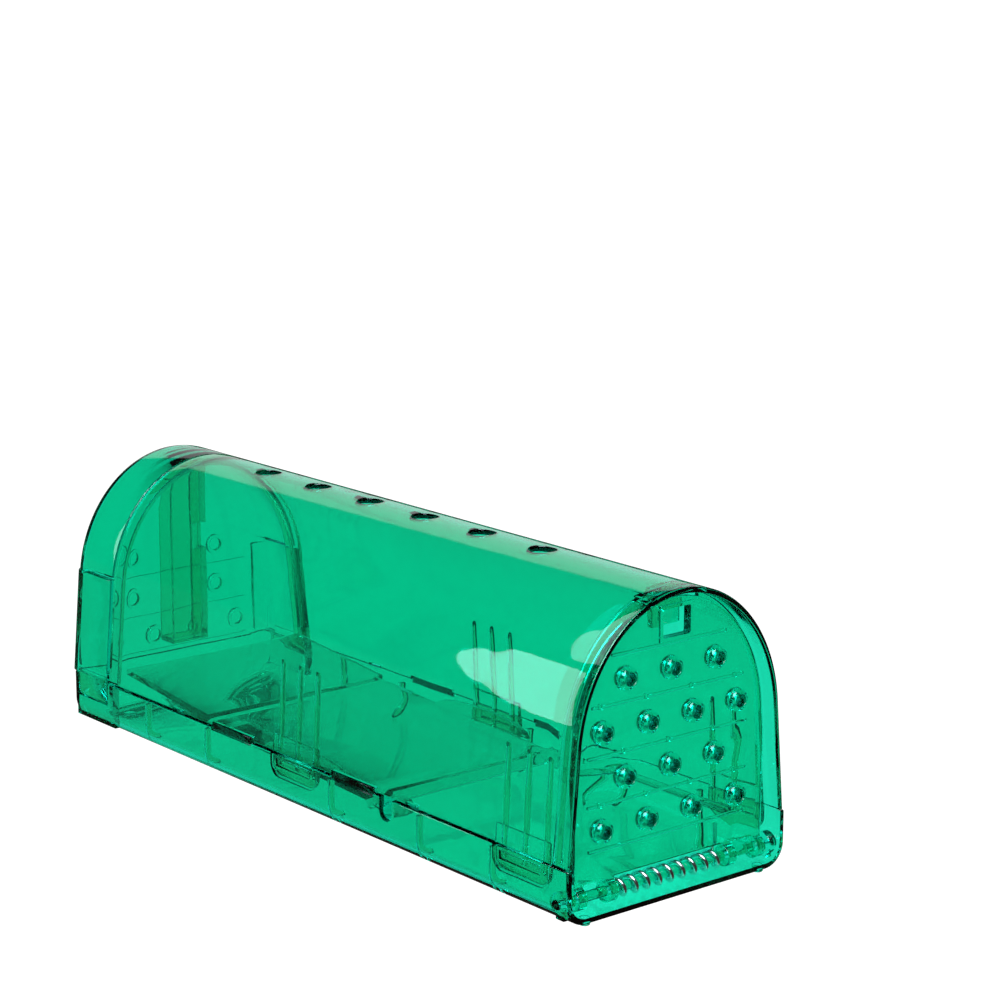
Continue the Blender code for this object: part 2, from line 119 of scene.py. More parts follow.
def rounded_loop(
    corners: list[tuple[float, float]], radii: float | list[float], steps: int = 6
) -> np.ndarray:
    """A closed outline whose corners are arcs.

    Each arc turns about a point on the corner's bisector, and runs between the two points
    where a circle of that radius touches the sides.

    Args:
        corners: The sharp corners, in order.
        radii: One radius for all corners, or one for each.
        steps: Segments in each arc.

    Returns:
        The outline's points, one row each.
    """
    corner = np.asarray(corners, float)
    radius = np.broadcast_to(np.asarray(radii, float), (len(corner),))
    back = unit(np.roll(corner, 1, axis=0) - corner)
    ahead = unit(np.roll(corner, -1, axis=0) - corner)
    half = np.arccos(np.clip((back * ahead).sum(axis=1), -1.0, 1.0)) / 2
    middle = corner + unit(back + ahead) * (radius / np.sin(half))[:, None]
    reach = (radius / np.tan(half))[:, None]
    first = corner + back * reach - middle
    last = corner + ahead * reach - middle
    turn = np.maximum(math.pi - 2 * half, 1e-5)[:, None, None]
    t = np.linspace(0.0, 1.0, steps + 1)[None, :, None]
    arc = (np.sin((1 - t) * turn) * first[:, None] + np.sin(t * turn) * last[:, None]) / np.sin(turn)
    return (middle[:, None] + arc).reshape(-1, 2)


def densify(loop: np.ndarray, spacing: float) -> np.ndarray:
    """A closed outline with extra points, so that none of its sides is longer than the spacing.

    Args:
        loop: The outline's points.
        spacing: The longest side allowed.

    Returns:
        The outline with each long side divided into equal parts.
    """
    ahead = np.roll(loop, -1, axis=0)
    parts = np.maximum(np.ceil(np.linalg.norm(ahead - loop, axis=1) / spacing), 1).astype(int)
    side = np.repeat(np.arange(len(loop)), parts)
    share = (np.arange(parts.sum()) - np.repeat(np.cumsum(parts) - parts, parts)) / parts[side]
    return loop[side] + (ahead - loop)[side] * share[:, None]


def inset_loop(loop: np.ndarray, depth: float) -> np.ndarray:
    """A closed outline moved inwards along the bisector of each point's two sides.

    Args:
        loop: The outline's points.
        depth: How far to move them.

    Returns:
        The smaller outline, with as many points.
    """
    ahead = unit(np.roll(loop, -1, axis=0) - loop)
    tangent = unit(ahead + np.roll(ahead, 1, axis=0))
    area = (loop[:, 0] * np.roll(loop[:, 1], -1) - loop[:, 1] * np.roll(loop[:, 0], -1)).sum()
    inwards = np.stack([-tangent[:, 1], tangent[:, 0]], axis=1) * np.sign(area)
    return loop + inwards * depth


@dataclass
class Shape:
    """Closed surfaces: points in millimetres, and faces as lists of point numbers."""

    points: np.ndarray
    faces: list[list[int]]

    def __add__(self, other: "Shape") -> "Shape":
        """Both shapes side by side, which mustn't touch.

        Args:
            other: The other shape.

        Returns:
            The one shape.
        """
        shift = len(self.points)
        moved = [[index + shift for index in face] for face in other.faces]
        return Shape(np.vstack([self.points, other.points]), self.faces + moved)

    def mirrored(self) -> "Shape":
        """The same shape on the other side of the plane x = 0."""
        return Shape(self.points * (-1.0, 1.0, 1.0), self.faces)

    def moved(self, step: tuple[float, float, float]) -> "Shape":
        """The same shape somewhere else."""
        return Shape(self.points + np.asarray(step), self.faces)


def joined(shapes: list[Shape]) -> Shape:
    """Several separate shapes as one.

    Args:
        shapes: The shapes, which mustn't touch.

    Returns:
        The one shape.
    """
    total = shapes[0]
    for shape in shapes[1:]:
        total = total + shape
    return total


def loft(rings: np.ndarray) -> Shape:
    """A closed surface through a row of rings, with a flat face over the first and the last.

    Args:
        rings: Points numbered by ring, place round the ring, and coordinate.

    Returns:
        The surface, as a grid of four-sided faces and two caps.
    """
    count, around, _ = rings.shape
    number = np.arange(count * around).reshape(count, around)
    beside = np.roll(number, -1, axis=1)
    quads = np.stack([number[:-1], beside[:-1], beside[1:], number[1:]], axis=-1).reshape(-1, 4)
    caps = [number[0, ::-1].tolist(), number[-1].tolist()]
    return Shape(rings.reshape(-1, 3), quads.tolist() + caps)


def prism(
    outline: np.ndarray, axis: Axis, start: float, end: float, edge: float = 0.25, steps: int = 3
) -> Shape:
    """An outline drawn out along an axis, with a quarter-round at each end.

    A ring at angle a round the edge is set in by edge * (1 - sin a) and lies
    edge * (1 - cos a) from the end.

    Args:
        outline: The cross-section, in the other two coordinates.
        axis: The direction.
        start: Where it begins.
        end: Where it ends.
        edge: The radius round both ends.
        steps: Segments in each quarter-round.

    Returns:
        The solid.
    """
    angle = np.linspace(0.0, math.pi / 2, steps + 1)
    depths = edge * (1 - np.sin(angle))
    along = edge * (1 - np.cos(angle))
    places = np.concatenate([start + along, (end - along)[::-1]])
    insets = np.concatenate([depths, depths[::-1]])
    loops = np.stack([inset_loop(outline, depth) for depth in insets])
    third = np.broadcast_to(places[:, None, None], loops.shape[:2] + (1,))
    return loft(np.concatenate([loops, third], axis=2)[..., list(axis.value)])


def block(
    low: tuple[float, float, float], high: tuple[float, float, float], edge: float = 0.2
) -> Shape:
    """A box between two corners, with all its edges rounded.

    Args:
        low: Its lowest corner.
        high: Its highest corner.
        edge: The radius of its edges.

    Returns:
        The solid.
    """
    corners = [(low[0], low[1]), (high[0], low[1]), (high[0], high[1]), (low[0], high[1])]
    return prism(rounded_loop(corners, edge, 4), Axis.Z, low[2], high[2], edge)


def lathe(
    profile: np.ndarray, axis: Axis, centre: tuple[float, float, float], segments: int = 48
) -> Shape:
    """A profile turned about an axis through a point.

    The point at height h and angle a lies r cos a and r sin a from the axis.

    Args:
        profile: Rows of radius and height along the axis.
        axis: The direction of the axis.
        centre: The point where the height is 0.
        segments: Sides round the axis.

    Returns:
        The solid, capped at both ends.
    """
    angle = np.linspace(0.0, 2 * math.pi, segments, endpoint=False)
    radius, height = profile[:, :1], profile[:, 1:]
    rings = np.stack([radius * np.cos(angle), radius * np.sin(angle), height + 0 * angle], axis=-1)
    return loft(rings[..., list(axis.value)]).moved(centre)


def rod_profile(radius: float, length: float, edge: float, steps: int = 4) -> np.ndarray:
    """The profile of a rod centred on height 0, with rounded ends.

    Args:
        radius: The rod's radius.
        length: Its whole length.
        edge: The radius round each end.
        steps: Segments in each quarter-round.

    Returns:
        Rows of radius and height.
    """
    angle = np.linspace(0.0, math.pi / 2, steps + 1)
    ring = np.stack([radius - edge * (1 - np.sin(angle)), length / 2 - edge * (1 - np.cos(angle))], axis=1)
    return np.vstack([ring * (1.0, -1.0), ring[::-1]])


def bore_profile(
    radius: float, low: float, high: float, lip: float, over: float = 1.5, steps: int = 4
) -> np.ndarray:
    """The profile of a cutter that leaves a hole with rounded lips at two heights.

    Round a lip the radius grows from the hole's by lip * (1 - cos a) while the height
    comes lip * sin a nearer to the face.

    Args:
        radius: The hole's radius.
        low: The height of its lower face.
        high: The height of its upper face.
        lip: The radius of the lips.
        over: How far the cutter stands out of each face.
        steps: Segments in each lip.

    Returns:
        Rows of radius and height.
    """
    angle = np.linspace(0.0, math.pi / 2, steps + 1)
    grow = radius + lip * (1 - np.cos(angle))
    rise = lip * np.sin(angle) - lip
    upper = np.stack([grow, high + rise], axis=1)
    lower = np.stack([grow, low - rise], axis=1)[::-1]
    return np.vstack([[radius + lip, low - over], lower, upper, [radius + lip, high + over]])


def tube(path: np.ndarray, radius: float, segments: int = 14) -> Shape:
    """A round wire along a path.

    At each point of the path, one direction is square to the path and to X and the other
    is square to both.

    Args:
        path: Points along the wire's centre.
        radius: The wire's radius.
        segments: Sides round the wire.

    Returns:
        The wire, closed at both ends.
    """
    tangent = unit(np.gradient(path, axis=0))
    across = unit(np.cross(tangent, (1.0, 0.0, 0.0)))
    upright = np.cross(tangent, across)
    angle = np.linspace(0.0, 2 * math.pi, segments, endpoint=False)[None, :, None]
    rings = path[:, None] + radius * (np.cos(angle) * across[:, None] + np.sin(angle) * upright[:, None])
    return loft(rings)


def make_object(name: str, shape: Shape) -> bpy.types.Object:
    """A mesh object in metres, with its faces pointing outwards.

    Args:
        name: The object's name.
        shape: Its surface in millimetres.

    Returns:
        The object, linked to the scene.
    """
    mesh = bpy.data.meshes.new(name)
    mesh.from_pydata((shape.points * MM).tolist(), [], shape.faces)
    bm = bmesh.new()
    bm.from_mesh(mesh)
    bmesh.ops.remove_doubles(bm, verts=bm.verts, dist=WELD_BEFORE)
    bmesh.ops.recalc_face_normals(bm, faces=bm.faces)
    bm.to_mesh(mesh)
    bm.free()
    obj = bpy.data.objects.new(name, mesh)
    bpy.context.scene.collection.objects.link(obj)
    return obj


def combine(target: bpy.types.Object, tool: Shape, operation: str) -> bpy.types.Object:
    """Apply an exact Boolean with a tool, which is then deleted.

    Args:
        target: The object to change.
        tool: The other solid.
        operation: UNION, DIFFERENCE or INTERSECT.

    Returns:
        The target.
    """
    other = make_object(f"{target.name}_tool", tool)
    modifier = target.modifiers.new(operation.lower(), "BOOLEAN")
    modifier.operation = operation
    modifier.solver = "EXACT"
    modifier.object = other
    bpy.context.view_layer.update()
    graph = bpy.context.evaluated_depsgraph_get()
    mesh = bpy.data.meshes.new_from_object(target.evaluated_get(graph))
    target.modifiers.clear()
    old = target.data
    target.data = mesh
    bpy.data.meshes.remove(old)
    bpy.data.objects.remove(other, do_unlink=True)
    return target


def add(target: bpy.types.Object, *tools: Shape) -> bpy.types.Object:
    """Join solids to the target, one after another.

    Args:
        target: The piece.
        tools: The solids.

    Returns:
        The piece.
    """
    for tool in tools:
        combine(target, tool, "UNION")
    return target


def cut(target: bpy.types.Object, *tools: Shape) -> bpy.types.Object:
    """Cut solids out of the target, one after another.

    Args:
        target: The piece.
        tools: The solids.

    Returns:
        The piece.
    """
    for tool in tools:
        combine(target, tool, "DIFFERENCE")
    return target


def node_box(node: str) -> tuple[np.ndarray, np.ndarray]:
    """The lowest and highest corner of a CAD node, in millimetres."""
    low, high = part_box(node)
    return np.array(low) / MM, np.array(high) / MM


def settle(
    obj: bpy.types.Object, material: bpy.types.Material, node: str, body: Body
) -> bpy.types.Object:
    """Give a finished piece its material and smooth shading, and put it in its node's place.

    Args:
        obj: The piece.
        material: Its material.
        node: The CAD node that it stands for.
        body: The body that it moves with.

    Returns:
        The piece.
    """
    mesh = obj.data
    bm = bmesh.new()
    bm.from_mesh(mesh)
    bmesh.ops.remove_doubles(bm, verts=bm.verts, dist=WELD_AFTER)
    bmesh.ops.dissolve_degenerate(bm, edges=bm.edges, dist=WELD_AFTER)
    bm.to_mesh(mesh)
    bm.free()
    mesh.materials.clear()
    mesh.materials.append(material)
    mesh.polygons.foreach_set("material_index", np.zeros(len(mesh.polygons), np.int32))
    mesh.polygons.foreach_set("use_smooth", np.ones(len(mesh.polygons), bool))
    mesh.set_sharp_from_angle(angle=SHARP_ANGLE)
    mesh.update()
    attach(obj, body.value)
    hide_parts(node)
    LOG.info("%s: %d faces on %s", obj.name, len(mesh.polygons), body.value)
    return obj


@dataclass(frozen=True)
class Well:
    """A hole whose walls get a darker tint painted on them, as painted shade.

    A face is one of its walls if its middle lies within reach of the hole's centre, and
    it doesn't look along the hole. Across the hole the reach is the half axes of an
    ellipse for a round hole, and half the sides of a rectangle for a square one.

    Attributes:
        axis: The coordinate along the hole, as 0, 1 or 2.
        centre: The middle of the hole.
        reach: How far from the middle its walls lie, in each coordinate.
        round_hole: Whether the hole is round.
        steepest: The largest part of a wall's normal that may point along the hole.
    """

    axis: int
    centre: tuple[float, float, float]
    reach: tuple[float, float, float]
    round_hole: bool = True
    steepest: float = 0.75

    def walls(self, middles: np.ndarray, normals: np.ndarray) -> np.ndarray:
        """Which faces are its walls.

        Args:
            middles: The middles of the faces, in millimetres.
            normals: Their normals.

        Returns:
            A true or false value for each face.
        """
        away = np.abs(middles - self.centre) / self.reach
        across = [index for index in range(3) if index != self.axis]
        spread = np.hypot(*away[:, across].T) if self.round_hole else away[:, across].max(axis=1)
        looks_across = np.abs(normals[:, self.axis]) < self.steepest
        return (spread < 1) & (away[:, self.axis] < 1) & looks_across


def paint_hole_shade(obj: bpy.types.Object, wells: list[Well]) -> None:
    """Mark the walls of some holes, where the plastic's material paints a darker tint as painted shade.

    Args:
        obj: The finished piece.
        wells: Its holes.
    """
    mesh = obj.data
    count = len(mesh.polygons)
    middles, normals, corners = np.zeros(count * 3), np.zeros(count * 3), np.zeros(count, np.int32)
    mesh.polygons.foreach_get("center", middles)
    mesh.polygons.foreach_get("normal", normals)
    mesh.polygons.foreach_get("loop_total", corners)
    middles, normals = middles.reshape(-1, 3) / MM, normals.reshape(-1, 3)
    dark = np.zeros(count, bool)
    for well in wells:
        dark |= well.walls(middles, normals)
    mark = mesh.attributes.new(PAINTED_SHADE_MARK, "FLOAT", "CORNER")
    mark.data.foreach_set("value", np.repeat(dark, corners).astype(np.float32))


@dataclass(frozen=True)
class ClearPlastic:
    """Clear moulded plastic, tinted at its surfaces and in its depth.

    Light is absorbed along its way through the walls, so edges seen end-on go deep in
    colour. A slow waviness and a faint unevenness of gloss come from the mould.

    Attributes:
        skin: The tint of a wall's two surfaces together.
        painted_hole_shade: A darker tint painted on the marked walls of holes as painted shade, or None on a
            piece without marks.
        absorption: The share of red, green and blue light lost in a millimetre.
        ior: How strongly it bends and mirrors light.
        roughness: The middle of its range of roughness.
        wave_size: The width of the waves.
        wave_depth: Their depth.
        grain_size: The width of the patches of duller gloss.
    """

    skin: tuple[float, float, float] = (0.02, 0.815, 0.635)
    painted_hole_shade: tuple[float, float, float] | None = None
    absorption: tuple[float, float, float] = (0.5, 0.04, 0.045)
    ior: float = 1.49
    roughness: float = 0.015
    wave_size: float = 11.0
    wave_depth: float = 0.035
    grain_size: float = 2.5

    def material(self, name: str) -> bpy.types.Material:
        """The material, as a node tree.

        Args:
            name: Its name.

        Returns:
            The material.
        """
        mat = bpy.data.materials.new(name)
        mat.use_nodes = True
        nodes, links = mat.node_tree.nodes, mat.node_tree.links
        shader = nodes["Principled BSDF"]
        shader.inputs["Base Color"].default_value = (*self.skin, 1.0)
        # Painted shade: faces marked as hole walls get a darker base colour.
        if self.painted_hole_shade is not None:
            marked = nodes.new("ShaderNodeAttribute")
            marked.attribute_name = PAINTED_SHADE_MARK
            tint = nodes.new("ShaderNodeMix")
            tint.data_type = "RGBA"
            tint.inputs["A"].default_value = (*self.skin, 1.0)
            tint.inputs["B"].default_value = (*self.painted_hole_shade, 1.0)
            links.new(marked.outputs["Fac"], tint.inputs["Factor"])
            links.new(tint.outputs["Result"], shader.inputs["Base Color"])
        shader.inputs["Transmission Weight"].default_value = 1.0
        shader.inputs["IOR"].default_value = self.ior
        place = nodes.new("ShaderNodeTexCoord")
        wave = nodes.new("ShaderNodeTexNoise")
        wave.inputs["Scale"].default_value = 1 / (self.wave_size * MM)
        wave.inputs["Detail"].default_value = 1.0
        links.new(place.outputs["Object"], wave.inputs["Vector"])
        bump = nodes.new("ShaderNodeBump")
        bump.inputs["Strength"].default_value = 1.0
        bump.inputs["Distance"].default_value = self.wave_depth * MM
        links.new(wave.outputs["Fac"], bump.inputs["Height"])
        links.new(bump.outputs["Normal"], shader.inputs["Normal"])
        grain = nodes.new("ShaderNodeTexNoise")
        grain.inputs["Scale"].default_value = 1 / (self.grain_size * MM)
        grain.inputs["Detail"].default_value = 3.0
        links.new(place.outputs["Object"], grain.inputs["Vector"])
        gloss = nodes.new("ShaderNodeMapRange")
        gloss.inputs["To Min"].default_value = self.roughness * 0.5
        gloss.inputs["To Max"].default_value = self.roughness * 1.5
        links.new(grain.outputs["Fac"], gloss.inputs["Value"])
        links.new(gloss.outputs["Result"], shader.inputs["Roughness"])
        depth = nodes.new("ShaderNodeVolumeAbsorption")
        density = max(self.absorption)
        depth.inputs["Color"].default_value = (*(1 - value / density for value in self.absorption), 1.0)
        depth.inputs["Density"].default_value = density / MM
        links.new(depth.outputs["Volume"], nodes["Material Output"].inputs["Volume"])
        return mat


@dataclass(frozen=True)
class SteelWire:
    """Bright drawn steel, with fine lines along its length."""

    colour: tuple[float, float, float] = (0.68, 0.69, 0.70)
    roughness: float = 0.2
    grain_size: float = 0.35

    def material(self, name: str) -> bpy.types.Material:
        """The material, as a node tree.

        Args:
            name: Its name.

        Returns:
            The material.
        """
        mat = bpy.data.materials.new(name)
        mat.use_nodes = True
        nodes, links = mat.node_tree.nodes, mat.node_tree.links
        shader = nodes["Principled BSDF"]
        shader.inputs["Base Color"].default_value = (*self.colour, 1.0)
        shader.inputs["Metallic"].default_value = 1.0
        place = nodes.new("ShaderNodeTexCoord")
        grain = nodes.new("ShaderNodeTexNoise")
        grain.inputs["Scale"].default_value = 1 / (self.grain_size * MM)
        grain.inputs["Detail"].default_value = 4.0
        links.new(place.outputs["Object"], grain.inputs["Vector"])
        gloss = nodes.new("ShaderNodeMapRange")
        gloss.inputs["To Min"].default_value = self.roughness * 0.6
        gloss.inputs["To Max"].default_value = self.roughness * 1.5
        links.new(grain.outputs["Fac"], gloss.inputs["Value"])
        links.new(gloss.outputs["Result"], shader.inputs["Roughness"])
        return mat


@dataclass
class ArchLine:
    """The arched cross-section that the tunnel, the door and the cap share.

    The crown is half an ellipse, and below it each side is a straight line that leans
    out and touches the ellipse.
    """

    crown: float
    spring: float = 31.9
    half_width: float = 26.1
    lean: float = 0.0854
    spacing: float = 0.65

    def half(self, bottom: float, edge: float = 0.0) -> tuple[np.ndarray, np.ndarray, np.ndarray]:
        """The right-hand half, from the bottom up to the crown.

        On the ellipse x = a cos t and z = spring + b sin t, and the normal is
        (cos t / a, sin t / b); on the side x grows by the lean for each step down.

        Args:
            bottom: The height where the side ends.
            edge: The radius of the rounding at that end.

        Returns:
            Points, outward normals, and how far the rounding has eaten into the wall.
        """
        rise = self.crown - self.spring
        touch = math.atan(self.lean * rise / self.half_width)
        top = self.spring + rise * math.sin(touch)
        angle = np.linspace(0.0, math.pi / 2, 5) if edge > 0 else np.zeros(1)
        low = bottom + edge * (1 - np.cos(angle))
        steps = max(int((top - low[-1]) / (2 * self.spacing)), 2)
        heights = np.concatenate([low, np.linspace(low[-1], top, steps + 1)[1:-1]])
        side = np.stack([self.half_width * math.cos(touch) + self.lean * (top - heights), heights], axis=1)
        side_normal = np.broadcast_to(unit(np.array([1.0, self.lean])), side.shape)
        t = np.linspace(touch, math.pi / 2, int(1.5 * self.half_width / self.spacing))
        arc = np.stack([self.half_width * np.cos(t), self.spring + rise * np.sin(t)], axis=1)
        arc_normal = unit(np.stack([np.cos(t) / self.half_width, np.sin(t) / rise], axis=1))
        eaten = np.zeros(len(side) + len(arc))
        eaten[: len(low)] = edge * (1 - np.sin(angle)) if edge > 0 else 0.0
        return np.vstack([side, arc]), np.vstack([side_normal, arc_normal]), eaten

    def whole(self, bottom: float, edge: float = 0.0) -> tuple[np.ndarray, np.ndarray, np.ndarray]:
        """Both halves in one line, from the left bottom over the crown to the right bottom.

        Args:
            bottom: The height where the sides end.
            edge: The radius of the rounding at those ends.

        Returns:
            Points, outward normals, and how far the rounding has eaten into the wall.
        """
        points, normals, eaten = self.half(bottom, edge)
        left = (-1.0, 1.0)
        return (
            np.vstack([points * left, points[-2::-1]]),
            np.vstack([normals * left, normals[-2::-1]]),
            np.concatenate([eaten, eaten[-2::-1]]),
        )

    def carry(self, section: np.ndarray, bottom: float, wall: float, edge: float = 0.25) -> Shape:
        """A section in (y, depth below the surface), carried along the arch.

        The point at place i along the arch and j round the section is the arch's point i
        moved in along its normal by the section's depth j, at the section's y.

        Args:
            section: Rows of y and depth.
            bottom: The height where the arch ends.
            wall: The deepest that the section goes.
            edge: The radius of the rounding at the arch's two ends.

        Returns:
            The solid.
        """
        points, normals, eaten = self.whole(bottom, edge)
        depth = np.clip(section[None, :, 1], eaten[:, None], wall - eaten[:, None])
        x = points[:, :1] - normals[:, :1] * depth
        z = points[:, 1:] - normals[:, 1:] * depth
        return loft(np.stack([x, section[None, :, 0] + 0 * x, z], axis=-1))

    def plate(self, inset: float, bottom: float) -> np.ndarray:
        """The closed outline of the area under the arch.

        Args:
            inset: How far inside the arch it stays.
            bottom: The height of its lower edge.

        Returns:
            Rows of x and z.
        """
        points, normals, _ = self.whole(bottom)
        return points - normals * inset


@dataclass
class TunnelCover:
    """The arched tunnel, with its rim, neck, door stop, catch, clips and air holes."""

    arch: ArchLine
    front: float
    joint: float = 71.7
    bottom: float = 12.15
    wall: float = 1.2
    neck_end: float = 73.2
    neck_depths: tuple[float, float] = (1.9, 2.7)
    stop: float = -82.7
    stop_depth: float = 2.5
    air_hole: float = 2.8
    air_pitch: float = 18.8
    air_count: int = 6
    clip_half: float = 7.9
    clip_bottom: float = 6.8
    rib_pitch: float = 6.1
    rib_top: float = 32.0
    rib_half: float = 0.42
    slot_top: float = 13.05
    notches: tuple[tuple[float, float], ...] = ((41.4, 45.3), (-42.0, -38.4))
    notch_top: float = 12.7

    def section(self) -> np.ndarray:
        """The wall's outline in y and depth, with the stop at the front and the neck at the rear.

        Returns:
            Rows of y and depth below the surface.
        """
        wall, front, joint, end = self.wall, self.front, self.joint, self.neck_end
        outer, inner = self.neck_depths
        near, far = self.stop - 0.5, self.stop + 0.5
        corners = [
            (front, 0.0), (joint, 0.0), (joint, outer), (end, outer), (end, inner), (69.8, inner),
            (68.6, wall), (far, wall), (far, self.stop_depth), (near, self.stop_depth), (near, wall),
            (front, wall),
        ]
        radii = [0.5, 0.3, 0.1, 0.25, 0.25, 0.4, 0.4, 0.1, 0.25, 0.25, 0.1, 0.5]
        return densify(rounded_loop(corners, radii, 5), 4.0)

    def clip(self, side: int, centre: float) -> list[Shape]:
        """The tongue, snap bump and three ribs of one clip.

        Args:
            side: -1 for the left and 1 for the right.
            centre: The clip's middle along Y.

        Returns:
            The solids, which overlap the wall and each other.
        """
        half, low = self.clip_half, self.clip_bottom
        corners = [(centre - half, low), (centre + half, low), (centre + half, 15.6), (centre - half, 15.6)]
        outline = rounded_loop(corners, [2.6, 2.6, 0.4, 0.4], 10)
        tongue = prism(outline, Axis.X, *reach_of(side, 25.9, 27.1), 0.3)
        near, far = reach_of(side, 26.8, 27.45)
        bump = block((near, centre - 5.6, 9.4), (far, centre + 5.6, 10.5), 0.2)
        slope = [
            (side * 26.4, 8.4), (side * 25.1, 9.4), (side * 24.9, 18.0), (side * 24.2, self.rib_top - 1.5),
            (side * 25.3, self.rib_top + 0.3),
        ]
        outline = rounded_loop(slope, [0.3, 0.5, 0.5, 0.5, 0.3], 5)
        places = centre + self.rib_pitch * np.arange(-1, 2)
        ribs = [prism(outline, Axis.Y, y - self.rib_half, y + self.rib_half, 0.2) for y in places]
        return [tongue, bump, joined(ribs)]

    def catch(self) -> list[Shape]:
        """The catch at the crown: a plate behind the door, and a nose level with the latch notch.

        Returns:
            The two solids.
        """
        plate = block((-3.4, -82.0, 53.0), (4.4, -80.8, 60.5), 0.3)
        nose = block((-2.0, -83.1, 54.2), (3.0, -81.5, 56.4), 0.3)
        return [plate, nose]

    def air_places(self) -> np.ndarray:
        """The middle of each air hole along Y."""
        return (np.arange(self.air_count) - (self.air_count - 1) / 2) * self.air_pitch

    def air_holes(self) -> Shape:
        """The cutters for the air holes, with rounded lips."""
        profile = bore_profile(self.air_hole, -self.wall, 0.0, 0.35)
        return joined([lathe(profile, Axis.Z, (0.0, y, self.arch.crown), 56) for y in self.air_places()])

    def gaps(self) -> Shape:
        """The cutters for the lower edge: two seam slots and two small notches on each side.

        Returns:
            The blocks as one shape.
        """
        spans = [(low, high, self.slot_top) for low, high in SEAM_SLOTS]
        spans += [(low, high, self.notch_top) for low, high in self.notches]
        return joined([
            block((x, low, 10.0), (x + 12.0, high, top), 0.2)
            for low, high, top in spans
            for x in (-34.0, 22.0)
        ])

    def wells(self) -> list[Well]:
        """The air holes and the seam slots.

        Returns:
            The holes whose walls get painted shade.
        """
        reach = self.air_hole + 0.3
        middle = self.arch.crown - 0.8
        holes = [Well(2, (0.0, y, middle), (reach, reach, 1.2)) for y in self.air_places()]
        return holes + [Well(0, (0.0, y, 12.5), (40.0, 8.2, 0.5), False) for y in SEAM_SLOT_MIDDLES]

    def build(self, material: bpy.types.Material) -> bpy.types.Object:
        """Make the cover.

        Args:
            material: Its plastic, with painted shade on the walls of its holes.

        Returns:
            The finished object.
        """
        cover = make_object("cover_shell", self.arch.carry(self.section(), self.bottom, self.neck_depths[1]))
        cut(cover, block((-7.0, -84.0, 55.0), (8.0, -81.5, 59.45), 0.3))
        add(cover, *self.catch())
        for side, centre in CLIPS:
            add(cover, *self.clip(side, centre))
        cut(cover, self.air_holes())
        cut(cover, self.gaps())
        settle(cover, material, "tunnel_cover", Body.BASE)
        paint_hole_shade(cover, self.wells())
        return cover


